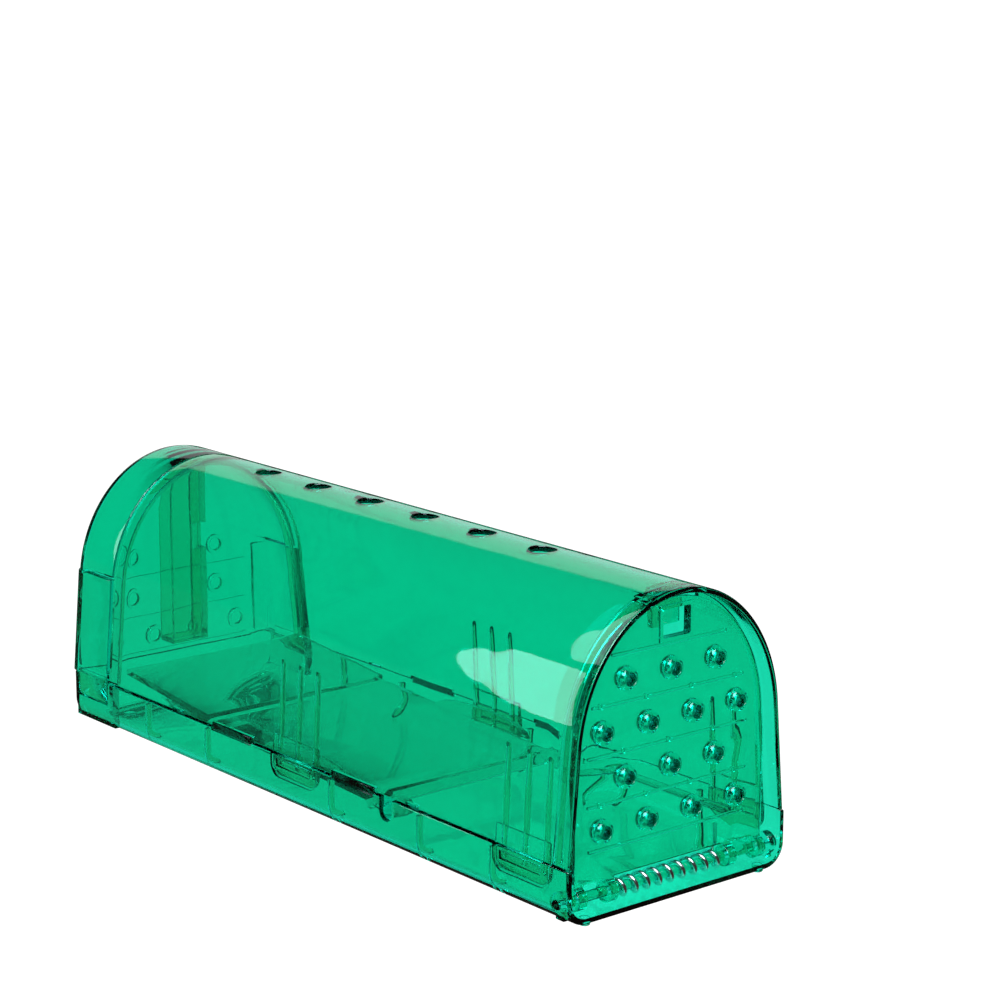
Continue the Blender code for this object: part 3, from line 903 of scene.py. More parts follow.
@dataclass
class BaseTray:
    """The tray under the tunnel: rounded sides, ribs, clip pockets, pivot notches, bosses and feet."""

    front: float
    rear: float
    hinge: tuple[float, float]
    pivot: tuple[float, float]
    half: float = 28.3
    wall: float = 1.2
    bottom: float = 0.6
    top: float = 11.85
    corner: float = 4.8
    rear_wall: float = 85.9
    rear_round: float = 3.0
    rib_places: tuple[float, ...] = (56.2, 32.6, -12.6, -41.9, -64.5)
    rib_start: float = 21.5
    boss: float = 2.4
    bore: float = 1.1
    mouth: float = 2.05
    pocket_half: float = 8.2

    def section(self, inset: float, top: float, edge: float) -> np.ndarray:
        """The outline of the tray's cross-section in x and z.

        Args:
            inset: How far inside the outer surface it lies.
            top: The height of its upper edge.
            edge: The radius of its two upper corners.

        Returns:
            Rows of x and z.
        """
        half, low, bend = self.half - inset, self.bottom + inset, self.corner - inset
        corners = [(-half, top), (-half, low), (half, low), (half, top)]
        return rounded_loop(corners, [edge, bend, bend, edge], 14)

    def hull(self) -> Shape:
        """The outside of the tray, drawn along Y and rounded at the front edge and the rear.

        A ring at angle a round the rear is set in by r (1 - cos a) and lies r (1 - sin a)
        from the rear face.

        Returns:
            The solid.
        """
        lip = 0.4
        a = np.linspace(0.0, math.pi / 2, 5)
        b = np.linspace(0.0, math.pi / 2, 13)
        insets = np.concatenate([lip * (1 - np.sin(a)), self.rear_round * (1 - np.cos(b))])
        behind = self.rear - self.rear_round * (1 - np.sin(b))
        places = np.concatenate([self.front + lip * (1 - np.cos(a)), behind])
        rings = []
        for inset, y in zip(insets, places):
            loop = self.section(inset, self.top, 0.35)
            rings.append(np.stack([loop[:, 0], np.full(len(loop), y), loop[:, 1]], axis=1))
        return loft(np.stack(rings))

    def ribs(self) -> Shape:
        """The thin ribs up the inside of both walls, which follow the rounded corners.

        Returns:
            All the ribs as one shape.
        """
        band = self.section(1.0, 10.6, 0.3)
        inner = self.section(2.4, 10.6, 0.3)
        right = np.vstack([band[band[:, 0] > self.rib_start], inner[inner[:, 0] > self.rib_start][::-1]])
        ribs = []
        for y in self.rib_places:
            rib = prism(right, Axis.Y, y - 0.5, y + 0.5, 0.15)
            ribs += [rib, rib.mirrored()]
        return joined(ribs)

    def pads(self) -> Shape:
        """The thickened walls behind the recesses for the cap's tabs."""
        spans = [reach_of(side, 25.4, 27.4) for side in SIDES]
        return joined([block((near, 70.2, 1.4), (far, 86.4, self.top - 0.02), 0.2) for near, far in spans])

    def recesses(self) -> Shape:
        """The cutters for the recesses that take the cap's tabs."""
        spans = [reach_of(side, 26.8, 32.0) for side in SIDES]
        return joined([block((near, 71.7, 6.7), (far, 84.4, 20.0), 0.3) for near, far in spans])

    def boss_pair(self, side: int) -> list[Shape]:
        """The round boss that holds the hinge pin on one side, and the web under it.

        Args:
            side: -1 for the left and 1 for the right.

        Returns:
            The boss and the web.
        """
        y, z = self.hinge
        near, far = reach_of(side, 25.3, 27.3)
        round_boss = lathe(rod_profile(self.boss, 2.0, 0.3), Axis.X, (side * 26.3, y, z))
        return [round_boss, block((near, y - 1.2, 1.4), (far, y + 1.2, z), 0.2)]

    def bores(self) -> Shape:
        """The cutters for the pin's bores."""
        profile = rod_profile(self.bore, 8.0, 0.1)
        return joined([lathe(profile, Axis.X, (side * 27.0, *self.hinge)) for side in SIDES])

    def mouths(self) -> Shape:
        """The cutters for the notches that the treadle's stubs drop into.

        Returns:
            Both cutters as one shape.
        """
        y, z = self.pivot
        half = self.mouth
        corners = [(y - half, z - half), (y + half, z - half), (y + half, 20.0), (y - half, 20.0)]
        outline = rounded_loop(corners, [2.0, 2.0, 0.3, 0.3], 10)
        return joined([prism(outline, Axis.X, *reach_of(side, 24.5, 30.5), 0.1) for side in SIDES])

    def feet(self) -> Shape:
        """Two small feet under the front corners and two under the rear.

        Returns:
            The four feet as one shape.
        """
        feet = []
        for side in SIDES:
            feet.append(lathe(rod_profile(1.1, 1.4, 0.3), Axis.Z, (side * 22.6, -86.0, 0.7), 32))
            feet.append(lathe(rod_profile(1.6, 1.4, 0.3), Axis.Z, (side * 18.0, 78.0, 0.7), 32))
        return joined(feet)

    def pockets(self) -> list[Shape]:
        """The cutters for the clips: pockets with round lower corners, and grooves for the snap bumps.

        Returns:
            The pockets as one shape, and the grooves as another.
        """
        pockets, grooves = [], []
        for side, centre in CLIPS:
            low, high = centre - self.pocket_half, centre + self.pocket_half
            corners = [(low, 6.5), (high, 6.5), (high, 20.0), (low, 20.0)]
            outline = rounded_loop(corners, [2.9, 2.9, 0.3, 0.3], 10)
            pockets.append(prism(outline, Axis.X, *reach_of(side, 24.0, 27.4), 0.1))
            near, far = reach_of(side, 27.0, 27.8)
            grooves.append(block((near, centre - 6.0, 9.0), (far, centre + 6.0, 10.9), 0.15))
        return [joined(pockets), joined(grooves)]

    def seam_slots(self) -> Shape:
        """The cutters for the seam slots in the upper edge.

        Returns:
            The blocks as one shape.
        """
        slots = []
        for side in SIDES:
            near, far = reach_of(side, 22.0, 34.0)
            slots += [block((near, low, 11.2), (far, high, 14.0), 0.2) for low, high in SEAM_SLOTS]
        return joined(slots)

    def seam_ridges(self) -> Shape:
        """The low ridges that stand in the seam slots.

        Returns:
            The ridges as one shape.
        """
        ridges = []
        for side in SIDES:
            near, far = reach_of(side, 27.15, 27.95)
            for low, high in SEAM_SLOTS:
                ridges.append(block((near, low + 0.3, 10.7), (far, high - 0.3, 12.85), 0.15))
        return joined(ridges)

    def wells(self) -> list[Well]:
        """The seam slots with their ridges, and the pivot notches.

        Returns:
            The holes whose walls get painted shade.
        """
        reach = (1.0, 7.7, 1.2)
        slots = [Well(1, (x, y, 11.8), reach, False) for x in (-27.5, 27.5) for y in SEAM_SLOT_MIDDLES]
        return slots + [Well(0, (0.0, self.pivot[0], 9.3), (40.0, 2.2, 2.5), False)]

    def build(self, material: bpy.types.Material) -> bpy.types.Object:
        """Make the tray.

        Args:
            material: Its plastic, with painted shade on the walls of its holes.

        Returns:
            The finished object.
        """
        tray = make_object("tray_shell", self.hull())
        cut(tray, prism(self.section(self.wall, 30.0, 0.5), Axis.Y, self.front - 8.0, self.rear_wall, 0.6))
        add(tray, self.ribs(), self.pads())
        cut(tray, self.recesses())
        for side in SIDES:
            add(tray, *self.boss_pair(side))
        cut(tray, self.bores(), self.mouths())
        add(tray, self.feet())
        cut(tray, *self.pockets(), self.seam_slots())
        add(tray, self.seam_ridges())
        settle(tray, material, "base_tray", Body.BASE)
        paint_hole_shade(tray, self.wells())
        return tray


@dataclass
class DropDoor:
    """The arched door, with collared holes, ridges, a latch notch, hinge knuckles and a finger."""

    arch: ArchLine
    hinge: tuple[float, float]
    front: float = -85.0
    back: float = -83.5
    inset: float = 2.1
    half: float = 24.4
    window: float = 14.2
    window_top: float = 7.3
    barrel: float = 2.2
    bore: float = 1.1
    pitch: float = 11.5
    rows: tuple[float, ...] = (45.4, 35.85, 26.3, 16.7)
    counts: tuple[int, ...] = (3, 4, 3, 4)
    hole: float = 1.3
    collar: float = 2.35
    collar_length: float = 3.6
    collar_middle: float = -84.2
    ridges: tuple[float, ...] = (50.1, 40.7, 31.1, 21.6, 12.9)
    ridge_halves: tuple[float, ...] = (14.6, 19.4, 20.4, 20.4, 20.0)
    finger_tip: float = -76.3

    def outline(self) -> np.ndarray:
        """The door's outline in x and z, with the spring's window open at its foot.

        Returns:
            Rows of x and z.
        """
        foot = self.hinge[1] - 1.4
        side, wide, top = self.half, self.window, self.window_top
        arch = self.arch.plate(self.inset, 28.0)
        steps = 4
        corners = [
            (side, 27.0), (side, foot), (wide, foot), (wide, top), (-wide, top), (-wide, foot), (-side, foot),
            (-side, 27.0),
        ]
        below = rounded_loop(corners, [0.1, 0.5, 0.4, 0.4, 0.4, 0.4, 0.5, 0.1], steps)
        return densify(np.vstack([arch, below[steps + 1 : -steps - 1]]), 3.0)

    def centres(self) -> list[tuple[float, float]]:
        """The middles of the holes, in x and z.

        Returns:
            A pair for each hole.
        """
        return [
            ((index - (count - 1) / 2) * self.pitch, z)
            for z, count in zip(self.rows, self.counts)
            for index in range(count)
        ]

    def at_holes(self, profile: np.ndarray) -> Shape:
        """A profile turned about the middle of every hole."""
        return joined([lathe(profile, Axis.Y, (x, self.collar_middle, z)) for x, z in self.centres()])

    def barrels(self) -> Shape:
        """The two hinge barrels at the door's foot.

        Returns:
            Both barrels as one shape.
        """
        profile = rod_profile(self.barrel, self.half - self.window, 0.3)
        middle = (self.window + self.half) / 2
        return joined([lathe(profile, Axis.X, (side * middle, *self.hinge)) for side in SIDES])

    def reliefs(self) -> Shape:
        """The cutters that part each barrel into two knuckles."""
        return joined([block((x, -90.0, 0.0), (x + 5.8, -80.0, self.window_top), 0.3) for x in (-22.2, 16.4)])

    def finger(self) -> Shape:
        """The finger that reaches in from the right knuckle.

        Returns:
            The solid.
        """
        y, z = self.hinge
        tip = self.finger_tip
        corners = [(y, z - 1.6), (tip, z - 1.6), (tip, z + 0.4), (y, z + 0.9)]
        outline = rounded_loop(corners, [0.3, 0.5, 0.5, 0.3], 4)
        return prism(outline, Axis.X, 21.4, 23.9, 0.22)

    def ridge_lines(self) -> Shape:
        """The thin level ridges across the inside of the door."""
        sizes = zip(self.ridges, self.ridge_halves)
        return joined([block((-half, -84.0, z - 0.3), (half, -83.05, z + 0.3), 0.2) for z, half in sizes])

    def nibs(self) -> Shape:
        """The small upright nibs over the holes of the lower three rows."""
        places = self.centres()[self.counts[0] :]
        return joined([block((x - 0.4, -84.0, z + 4.35), (x + 0.4, -82.8, z + 5.35), 0.2) for x, z in places])

    def wells(self) -> list[Well]:
        """The holes and the latch notch.

        Returns:
            The holes whose walls get painted shade.
        """
        reach = self.hole + 0.2
        holes = [Well(1, (x, self.collar_middle, z), (reach, 1.75, reach)) for x, z in self.centres()]
        return holes + [Well(1, (0.5, -84.4, 54.4), (3.6, 1.2, 2.9), False)]

    def build(self, material: bpy.types.Material) -> bpy.types.Object:
        """Make the door.

        Args:
            material: Its plastic, with painted shade on the walls of its holes.

        Returns:
            The finished object.
        """
        door = make_object("door_leaf", prism(self.outline(), Axis.Y, self.front, self.back, 0.3))
        add(door, self.barrels())
        cut(door, self.reliefs())
        add(door, self.finger())
        add(door, self.ridge_lines())
        add(door, self.at_holes(rod_profile(self.collar, self.collar_length, 1.1, 8)))
        add(door, self.nibs())
        end = self.collar_length / 2
        cut(door, self.at_holes(bore_profile(self.hole, -end, end, 0.25)))
        add(door, block((-3.8, -85.4, 50.8), (4.8, -83.9, 58.0), 0.2))
        notch = rounded_loop([(-3.0, 51.6), (4.0, 51.6), (4.0, 57.2), (-3.0, 57.2)], 0.35, 4)
        cut(door, prism(notch, Axis.Y, -90.0, -80.0, 0.1))
        cut(door, lathe(rod_profile(self.bore, 60.0, 0.1), Axis.X, (0.0, *self.hinge)))
        settle(door, material, "door", Body.DOOR)
        paint_hole_shade(door, self.wells())
        return door


@dataclass
class HingePin:
    """The plastic pin on which the door turns."""

    hinge: tuple[float, float]
    half: float
    radius: float = 1.0

    def build(self, material: bpy.types.Material) -> bpy.types.Object:
        """Make the pin, a turned rod with rounded ends.

        Args:
            material: Its plastic.

        Returns:
            The finished object.
        """
        profile = rod_profile(self.radius, 2 * self.half, 0.3)
        pin = make_object("pin_rod", lathe(profile, Axis.X, (0.0, *self.hinge)))
        return settle(pin, material, "hinge_pin", Body.BASE)


@dataclass
class DoorSpring:
    """The torsion spring wound round the pin, with a leg up the door and a leg in to the floor."""

    hinge: tuple[float, float]
    coil: float = 1.65
    wire: float = 0.42
    half: float = 13.3
    turns: float = 8.75
    turn_steps: int = 40
    tip: tuple[float, float] = (-74.0, 2.9)
    leg_top: float = 11.4

    def path(self) -> np.ndarray:
        """The wire's centre: a leg in to the floor, a helix about the pin, and a leg up the door.

        At turn angle a the helix lies c cos a and c sin a from the pin, and x grows evenly with a.

        Returns:
            Rows of x, y and z.
        """
        y0, z0 = self.hinge
        share = np.linspace(0.0, 1.0, int(self.turns * self.turn_steps) + 1)
        angle = math.pi / 2 + self.turns * 2 * math.pi * share
        x = self.half * (2 * share - 1)
        helix = np.stack([x, y0 + self.coil * np.cos(angle), z0 + self.coil * np.sin(angle)], axis=1)
        t = np.linspace(0.0, 1.0, 12)[:, None]
        foot = np.array([-self.half, *self.tip])
        leg_in = foot + (helix[0] - foot) * t[:-1]
        lift = np.linspace(0.0, 1.0, 10)[1:, None]
        leg_up = helix[-1] + (0.0, 0.0, self.leg_top - helix[-1][2]) * lift
        return np.vstack([leg_in, helix, leg_up])

    def build(self, material: bpy.types.Material) -> bpy.types.Object:
        """Make the spring.

        Args:
            material: Its steel.

        Returns:
            The finished object.
        """
        spring = make_object("spring_wire", tube(self.path(), self.wire))
        return settle(spring, material, "door_spring", Body.BASE)


@dataclass
class Treadle:
    """The tilting plate, with its raised rear pad, side lobes, pivot stubs and trigger arm."""

    pivot: tuple[float, float]
    half: float = 23.9
    stub: float = 1.75
    lobe: tuple[float, float] = (16.0, 2.8)
    lobe_foot: float = 10.0
    trigger_tip: float = -76.6

    def plate(self) -> Shape:
        """The thin plate: it rises gently to a step, then steeply to the raised rear pad.

        Returns:
            The solid.
        """
        corners = [
            (-22.0, 9.1), (36.4, 11.2), (36.4, 12.1), (69.5, 15.2), (69.5, 13.9), (37.4, 10.7), (36.4, 9.8),
            (-20.5, 7.7), (-21.6, 6.2), (-23.2, 6.2),
        ]
        outline = rounded_loop(corners, [0.4, 0.15, 0.35, 0.5, 0.5, 0.3, 0.35, 0.5, 0.35, 0.35], 4)
        return prism(densify(outline, 6.0), Axis.X, -self.half, self.half, 0.25)

    def arms(self) -> Shape:
        """The two short arms from the plate's front corners to the pivot.

        Returns:
            Both arms as one shape.
        """
        corners = [
            (-20.0, 7.9), (-20.4, 9.1), (-31.0, 10.9), (-33.6, 10.8), (-34.4, 9.6), (-34.2, 8.2),
            (-33.0, 7.3), (-27.0, 6.4),
        ]
        outline = rounded_loop(corners, 0.4, 4)
        edge = self.half - 0.01
        return joined([prism(outline, Axis.X, *reach_of(side, 21.9, edge), 0.2) for side in SIDES])

    def stubs(self) -> Shape:
        """The round stubs that turn in the tray's notches."""
        profile = rod_profile(self.stub, 5.0, 0.3)
        return joined([lathe(profile, Axis.X, (side * 25.2, *self.pivot)) for side in SIDES])

    def lobes(self) -> Shape:
        """The low rounded cheeks along the plate's sides, each half an ellipse.

        Returns:
            Both lobes as one shape.
        """
        angle = np.linspace(0.0, math.pi, 40)
        half_length, height = self.lobe
        outline = np.stack([half_length * np.cos(angle), self.lobe_foot + height * np.sin(angle)], axis=1)
        edge = self.half - 0.02
        return joined([prism(outline, Axis.X, *reach_of(side, 22.7, edge), 0.2) for side in SIDES])

    def trigger(self) -> Shape:
        """The arm that runs forward on the right, to just short of the swing of the door's finger.

        Returns:
            The solid.
        """
        tip = self.trigger_tip
        corners = [(-24.0, 7.2), (-30.0, 9.7), (tip, 9.7), (tip, 10.7), (-27.0, 10.7), (-21.0, 8.9)]
        return prism(rounded_loop(corners, 0.3, 4), Axis.X, 21.6, 23.7, 0.2)

    def build(self, material: bpy.types.Material) -> bpy.types.Object:
        """Make the treadle.

        Args:
            material: Its plastic.

        Returns:
            The finished object.
        """
        treadle = make_object("treadle_plate", self.plate())
        add(treadle, self.arms(), self.stubs(), self.lobes(), self.trigger())
        return settle(treadle, material, "treadle", Body.TREADLE)


@dataclass
class RearCap:
    """The lift-off hood and end wall, with squeeze panels, tabs, ridges and collared dimples."""

    arch: ArchLine
    rear: float
    front: float = 72.0
    wall: float = 1.2
    bottom: float = 12.15
    rear_wall: float = 85.9
    rear_round: float = 2.2
    panel_top: float = 35.7
    panel_edge: float = 0.25
    proud: float = 0.4
    collar: float = 2.35
    dimple: float = 1.55
    dimples: tuple[tuple[float, float], ...] = (
        (11.5, 35.85), (-11.5, 35.85), (11.5, 26.3), (-11.5, 26.3),
        (17.25, 16.7), (5.75, 16.7), (-5.75, 16.7), (-17.25, 16.7),
    )
    ridges: tuple[float, ...] = (31.1, 21.6, 12.9)
    ridge_half: float = 20.0

    def hull(
        self, inset: float, start: float, end: float, round_radius: float, lip: float, bottom: float
    ) -> Shape:
        """The area under the arch drawn along Y, with its far end rounded over.

        A ring at angle a round the end is set in by r (1 - cos a) and lies r (1 - sin a) from it.

        Args:
            inset: How far inside the arch it starts.
            start: Its front face.
            end: Its far face.
            round_radius: The radius of the rounding at the far end.
            lip: The radius of the front edge.
            bottom: The height of its lower edge.

        Returns:
            The solid.
        """
        a = np.linspace(0.0, math.pi / 2, 5)
        b = np.linspace(0.0, math.pi / 2, 11)
        insets = np.concatenate([lip * (1 - np.sin(a)), round_radius * (1 - np.cos(b))]) + inset
        places = np.concatenate([start + lip * (1 - np.cos(a)), end - round_radius * (1 - np.sin(b))])
        rings = []
        for depth, y in zip(insets, places):
            loop = self.arch.plate(depth, bottom)
            rings.append(np.stack([loop[:, 0], np.full(len(loop), y), loop[:, 1]], axis=1))
        return loft(np.stack(rings))

    def panel(self, side: int) -> Shape:
        """One squeeze panel: a rounded band a little proud of the side, rounded off at the rear.

        Args:
            side: -1 for the left and 1 for the right.

        Returns:
            The solid.
        """
        low, high, edge = self.bottom, self.panel_top, self.panel_edge
        points, _, _ = self.arch.half(low)
        surface = np.interp([low, high], points[:, 1], points[:, 0])
        b = np.linspace(0.0, math.pi / 2, 11)
        a = np.linspace(0.0, math.pi / 2, 4)
        insets = np.concatenate([edge * (1 - np.sin(a)), self.rear_round * (1 - np.cos(b))])
        behind = self.rear - 0.03 - self.rear_round * (1 - np.sin(b))
        places = np.concatenate([self.front + edge * (1 - np.cos(a)), behind])
        rings = []
        for inset, y in zip(insets, places):
            bottom_x, top_x = surface + self.proud - inset
            corners = [(bottom_x, low), (top_x, high), (top_x - 1.2, high), (bottom_x - 1.2, low)]
            loop = rounded_loop(corners, [0.2, 0.3, 0.1, 0.1], 4)
            rings.append(np.stack([side * loop[:, 0], np.full(len(loop), y), loop[:, 1]], axis=1))
        return loft(np.stack(rings))

    def tabs(self) -> Shape:
        """The tabs below the panels, which drop into the tray's recesses.

        Returns:
            Both tabs as one shape.
        """
        corners = [(self.front, 7.0), (84.1, 7.0), (84.1, 13.5), (self.front, 13.5)]
        outline = rounded_loop(corners, [1.2, 1.2, 0.2, 0.2], 6)
        return joined([prism(outline, Axis.X, *reach_of(side, 27.1, 28.28), 0.25) for side in SIDES])

    def panel_slots(self) -> Shape:
        """The cutters for the slots above the panels, which let them flex."""
        spans = [reach_of(side, 20.0, 40.0) for side in SIDES]
        return joined([block((near, 60.0, 35.5), (far, 83.8, 36.2), 0.2) for near, far in spans])

    def corner_posts(self) -> Shape:
        """The posts inside the rear corners, as high as the panels."""
        spans = [reach_of(side, 22.0, 26.0) for side in SIDES]
        return joined([block((near, 84.9, 13.0), (far, 86.4, 34.6), 0.25) for near, far in spans])

    def ridge_lines(self) -> Shape:
        """The thin level ridges across the inside of the end wall."""
        half = self.ridge_half
        return joined([block((-half, 85.4, z - 0.3), (half, 86.3, z + 0.3), 0.2) for z in self.ridges])

    def at_dimples(self, radius: float, length: float, y: float) -> Shape:
        """A short rod at every dimple.

        Args:
            radius: The rod's radius.
            length: Its length.
            y: Its middle along Y.

        Returns:
            The rods.
        """
        profile = rod_profile(radius, length, 0.3)
        return joined([lathe(profile, Axis.Y, (x, y, z)) for x, z in self.dimples])

    def build(self, material: bpy.types.Material) -> bpy.types.Object:
        """Make the cap.

        Args:
            material: Its plastic.

        Returns:
            The finished object.
        """
        hull = self.hull(0.0, self.front, self.rear, self.rear_round, 0.35, self.bottom)
        cap = make_object("cap_shell", hull)
        add(cap, self.panel(-1) + self.panel(1))
        cut(cap, self.hull(self.wall, self.front - 10.0, self.rear_wall, 0.8, 0.1, 2.0))
        add(cap, self.tabs())
        cut(cap, self.panel_slots())
        add(cap, self.corner_posts())
        add(cap, self.ridge_lines())
        add(cap, self.at_dimples(self.collar, 1.3, 85.75))
        cut(cap, self.at_dimples(self.dimple, 2.0, 85.2))
        return settle(cap, material, "rear_cap", Body.REAR_CAP)


@dataclass
class BaitHolder:
    """The upright channel inside the end wall, closed at its foot."""

    low: np.ndarray
    high: np.ndarray
    wall: float = 1.0
    foot: float = 1.2

    def build(self, material: bpy.types.Material) -> bpy.types.Object:
        """Make the holder.

        Args:
            material: Its plastic.

        Returns:
            The finished object.
        """
        holder = make_object("holder_channel", block(tuple(self.low), tuple(self.high), 0.3))
        near, far = self.low[0] + self.wall, self.high[0] - 1.5 * self.wall
        hollow = block((near, self.low[1] + self.wall, self.low[2] + self.foot), (far, 90.0, 60.0), 0.2)
        cut(holder, hollow, block((1.6, 78.0, 37.0), (8.0, 82.2, 43.2), 0.2))
        return settle(holder, material, "bait_holder", Body.REAR_CAP)


def heading(azimuth: float, elevation: float) -> Vector:
    """The direction at an azimuth from -Y towards +X and an elevation, both in degrees."""
    a, e = math.radians(azimuth), math.radians(elevation)
    return Vector((math.sin(a) * math.cos(e), -math.cos(a) * math.cos(e), math.sin(e)))


@dataclass(frozen=True)
class SoftBox:
    """A rectangular studio lamp.

    Attributes:
        name: Its name.
        direction: Its azimuth and elevation from the point that it faces, in degrees.
        distance: How far off it stands.
        size: Its width and height.
        power: Its radiant power in watts.
        aim: The point that it faces.
        roll: How far it is turned about its own axis, in degrees.
    """

    name: str
    direction: tuple[float, float]
    distance: float
    size: tuple[float, float]
    power: float
    aim: tuple[float, float, float] = (0.0, -50.0, 40.0)
    roll: float = 0.0

    def build(self, colour: tuple[float, float, float]) -> bpy.types.Object:
        """Set the lamp up.

        Args:
            colour: The colour of its light.

        Returns:
            The lamp.
        """
        data = bpy.data.lights.new(self.name, "AREA")
        data.shape = "RECTANGLE"
        data.size, data.size_y = self.size[0] * MM, self.size[1] * MM
        data.energy = self.power
        data.color = colour
        lamp = bpy.data.objects.new(self.name, data)
        bpy.context.scene.collection.objects.link(lamp)
        away = heading(*self.direction)
        lamp.location = Vector(self.aim) * MM + away * self.distance * MM
        turn = Quaternion((0.0, 0.0, 1.0), math.radians(self.roll))
        lamp.rotation_euler = (away.to_track_quat("Z", "Y") @ turn).to_euler()
        return lamp


@dataclass(frozen=True)
class Glow:
    """Brightness in the room that falls off with the angle from a direction.

    Attributes:
        direction: Its azimuth and elevation, in degrees.
        near: The angle inside which it is brightest, in degrees.
        far: The angle beyond which it is darkest, in degrees.
        low: The darkest value.
        high: The brightest value.
    """

    direction: tuple[float, float]
    near: float
    far: float
    low: float
    high: float

    def socket(self, tree: bpy.types.NodeTree, place: bpy.types.NodeSocket) -> bpy.types.NodeSocket:
        """The socket that carries the brightness.

        Args:
            tree: The room's node tree.
            place: The socket that carries the direction looked in.

        Returns:
            The socket.
        """
        dot = tree.nodes.new("ShaderNodeVectorMath")
        dot.operation = "DOT_PRODUCT"
        dot.inputs[1].default_value = heading(*self.direction)
        tree.links.new(place, dot.inputs[0])
        fade = tree.nodes.new("ShaderNodeMapRange")
        fade.inputs["From Min"].default_value = math.cos(math.radians(self.far))
        fade.inputs["From Max"].default_value = math.cos(math.radians(self.near))
        fade.inputs["To Min"].default_value = self.low
        fade.inputs["To Max"].default_value = self.high
        tree.links.new(dot.outputs["Value"], fade.inputs["Value"])
        return fade.outputs["Result"]


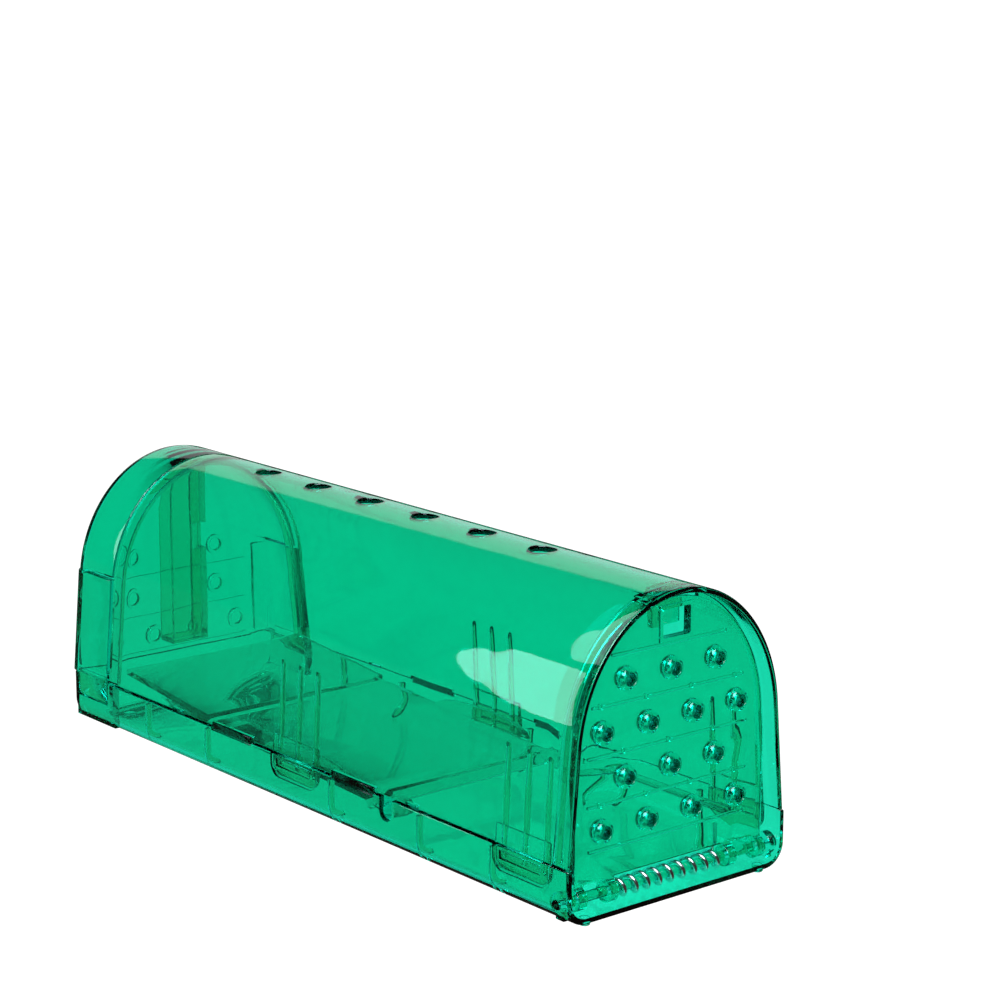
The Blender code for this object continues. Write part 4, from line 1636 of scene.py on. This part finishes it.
@dataclass
class Studio:
    """The camera, the pale floor, the surroundings and the lamps.

    What is seen through the plastic is warmer than the bare floor and room, and what
    the plastic mirrors is darker.
    """

    azimuth: float = -39.63
    elevation: float = 12.57
    roll: float = 0.09
    position: tuple[float, float, float] = (-0.34643, -0.45214, 0.19001)
    lens: float = 100.05
    sensor: float = 36.0
    floor_size: float = 3000.0
    floor_glow: float = 1.15
    floor_mirrored: float = 0.04
    room: Glow = Glow((140.37, 0.0), 60.0, 105.0, 0.3, 1.15)
    mirrored_wall: Glow = Glow((150.0, 12.0), 19.0, 21.0, 0.02, 0.7)
    cool: tuple[float, float, float] = (0.72, 0.92, 1.0)
    seen_through: tuple[float, float, float] = (1.0, 0.82, 0.64)
    lamps: tuple[SoftBox, ...] = (
        SoftBox("Side Softbox", (-136.5, 13.1), 2000.0, (218.0, 980.0), 2.8, roll=14.3),
        SoftBox("Key Softbox", (-35.0, 48.0), 900.0, (700.0, 700.0), 14.0),
        SoftBox("Corner Light", (-154.4, 52.9), 150.0, (134.8, 71.8), 0.085, (-17.0, -84.0, 54.0), -44.0),
    )

    def camera(self) -> bpy.types.Object:
        """The camera, turned by its azimuth, elevation and roll.

        Returns:
            The camera.
        """
        a, r = math.radians(self.azimuth), math.radians(self.roll)
        back = heading(self.azimuth, self.elevation)
        right = Vector((math.cos(a), math.sin(a), 0.0))
        up = back.cross(right)
        turned = right * math.cos(r) + up * math.sin(r)
        data = bpy.data.cameras.new("Product Camera")
        data.lens = self.lens
        data.sensor_width = self.sensor
        data.clip_start = 0.01
        data.clip_end = 10.0
        camera = bpy.data.objects.new("Product Camera", data)
        bpy.context.scene.collection.objects.link(camera)
        axes = Matrix((turned, back.cross(turned), back)).transposed().to_4x4()
        camera.matrix_world = Matrix.Translation(self.position) @ axes
        bpy.context.scene.camera = camera
        return camera

    def floor(self) -> bpy.types.Object:
        """The pale floor, bright enough that its shadows wash out.

        Returns:
            The floor.
        """
        size = self.floor_size
        corners = np.array([(-size, -size, 0.0), (size, -size, 0.0), (size, size, 0.0), (-size, size, 0.0)])
        mesh = bpy.data.meshes.new("studio_floor")
        mesh.from_pydata((corners * MM).tolist(), [], [[0, 1, 2, 3]])
        floor = bpy.data.objects.new("studio_floor", mesh)
        bpy.context.scene.collection.objects.link(floor)
        mat = bpy.data.materials.new("Pale Floor")
        mat.use_nodes = True
        nodes, links = mat.node_tree.nodes, mat.node_tree.links
        nodes.remove(nodes["Principled BSDF"])
        glow = nodes.new("ShaderNodeEmission")
        path = nodes.new("ShaderNodeLightPath")
        level = nodes.new("ShaderNodeMapRange")
        level.inputs["To Min"].default_value = self.floor_glow
        level.inputs["To Max"].default_value = self.floor_mirrored
        links.new(path.outputs["Is Reflection Ray"], level.inputs["Value"])
        links.new(level.outputs["Result"], glow.inputs["Strength"])
        shade = nodes.new("ShaderNodeMix")
        shade.data_type = "RGBA"
        shade.inputs["A"].default_value = (*self.seen_through, 1.0)
        shade.inputs["B"].default_value = (1.0, 1.0, 1.0, 1.0)
        links.new(path.outputs["Is Camera Ray"], shade.inputs["Factor"])
        links.new(shade.outputs["Result"], glow.inputs["Color"])
        links.new(glow.outputs["Emission"], nodes["Material Output"].inputs["Surface"])
        mesh.materials.append(mat)
        return floor

    def surroundings(self) -> None:
        """A room that is bright behind the object and dark on the camera's side.

        What the plastic mirrors is darker still, but for a pale wall behind and to the right.
        """
        world = bpy.data.worlds.new("Studio")
        bpy.context.scene.world = world
        world.use_nodes = True
        nodes, links = world.node_tree.nodes, world.node_tree.links
        background = nodes["Background"]
        place = nodes.new("ShaderNodeTexCoord").outputs["Generated"]
        path = nodes.new("ShaderNodeLightPath")
        pick = nodes.new("ShaderNodeMix")
        links.new(path.outputs["Is Reflection Ray"], pick.inputs["Factor"])
        links.new(self.room.socket(world.node_tree, place), pick.inputs["A"])
        links.new(self.mirrored_wall.socket(world.node_tree, place), pick.inputs["B"])
        links.new(pick.outputs["Result"], background.inputs["Strength"])
        shade = nodes.new("ShaderNodeMix")
        shade.data_type = "RGBA"
        shade.inputs["A"].default_value = (1.0, 1.0, 1.0, 1.0)
        shade.inputs["B"].default_value = (*self.seen_through, 1.0)
        links.new(path.outputs["Is Transmission Ray"], shade.inputs["Factor"])
        links.new(shade.outputs["Result"], background.inputs["Color"])

    def build(self) -> None:
        """Set up the shot and the depth of the light's paths through the plastic."""
        self.camera()
        self.floor()
        self.surroundings()
        for lamp in self.lamps:
            lamp.build(self.cool)
        scene = bpy.context.scene
        scene.view_settings.view_transform = "Standard"
        scene.cycles.max_bounces = 32
        scene.cycles.transmission_bounces = 32
        scene.cycles.glossy_bounces = 16
        scene.cycles.transparent_max_bounces = 16


def pivot_of(joint: str) -> tuple[float, float]:
    """Where a joint's axis lies in y and z, in millimetres.

    Args:
        joint: Its name.

    Returns:
        The two places.
    """
    places = {entry["name"]: entry.get("pos_m") for entry in frame["joints"]}
    _, y, z = (round(float(value) / MM, 3) for value in places[joint])
    return y, z


def main() -> None:
    """Build every piece on the frame, then the studio."""
    cover_low, cover_high = node_box("tunnel_cover")
    tray_low, tray_high = node_box("base_tray")
    _, cap_high = node_box("rear_cap")
    pin_low, pin_high = node_box("hinge_pin")
    holder_low, holder_high = node_box("bait_holder")
    hinge = tuple((pin_low + pin_high)[1:] / 2)
    pivot = pivot_of("treadle_tilt")
    arch = ArchLine(crown=float(cover_high[2]))
    # The darker tint painted on the walls of holes: painted shade.
    painted_hole_shade = (0.01, 0.10, 0.085)
    plain = ClearPlastic().material("Clear Green Plastic")
    shaded = ClearPlastic(painted_hole_shade=painted_hole_shade).material("Clear Green Plastic With Shaded Holes")
    flat = ClearPlastic(painted_hole_shade=painted_hole_shade, wave_depth=0.006).material("Flat Green Plastic With Shaded Holes")
    # A lighter tint and a lower IOR than the rest of the plastic make the treadle look brighter: painted
    # light.
    thin = ClearPlastic(skin=(0.05, 0.88, 0.84), wave_depth=0.006, ior=1.15).material("Green Plastic Painted Lighter")
    steel = SteelWire().material("Bright Steel")
    TunnelCover(arch, float(cover_low[1])).build(shaded)
    BaseTray(float(tray_low[1]), float(tray_high[1]), hinge, pivot).build(flat)
    DropDoor(arch, hinge).build(shaded)
    HingePin(hinge, float(pin_high[0])).build(plain)
    DoorSpring(hinge).build(steel)
    Treadle(pivot).build(thin)
    RearCap(arch, float(cap_high[1])).build(plain)
    BaitHolder(holder_low, holder_high).build(plain)
    Studio().build()


if __name__ == "__main__":
    main()
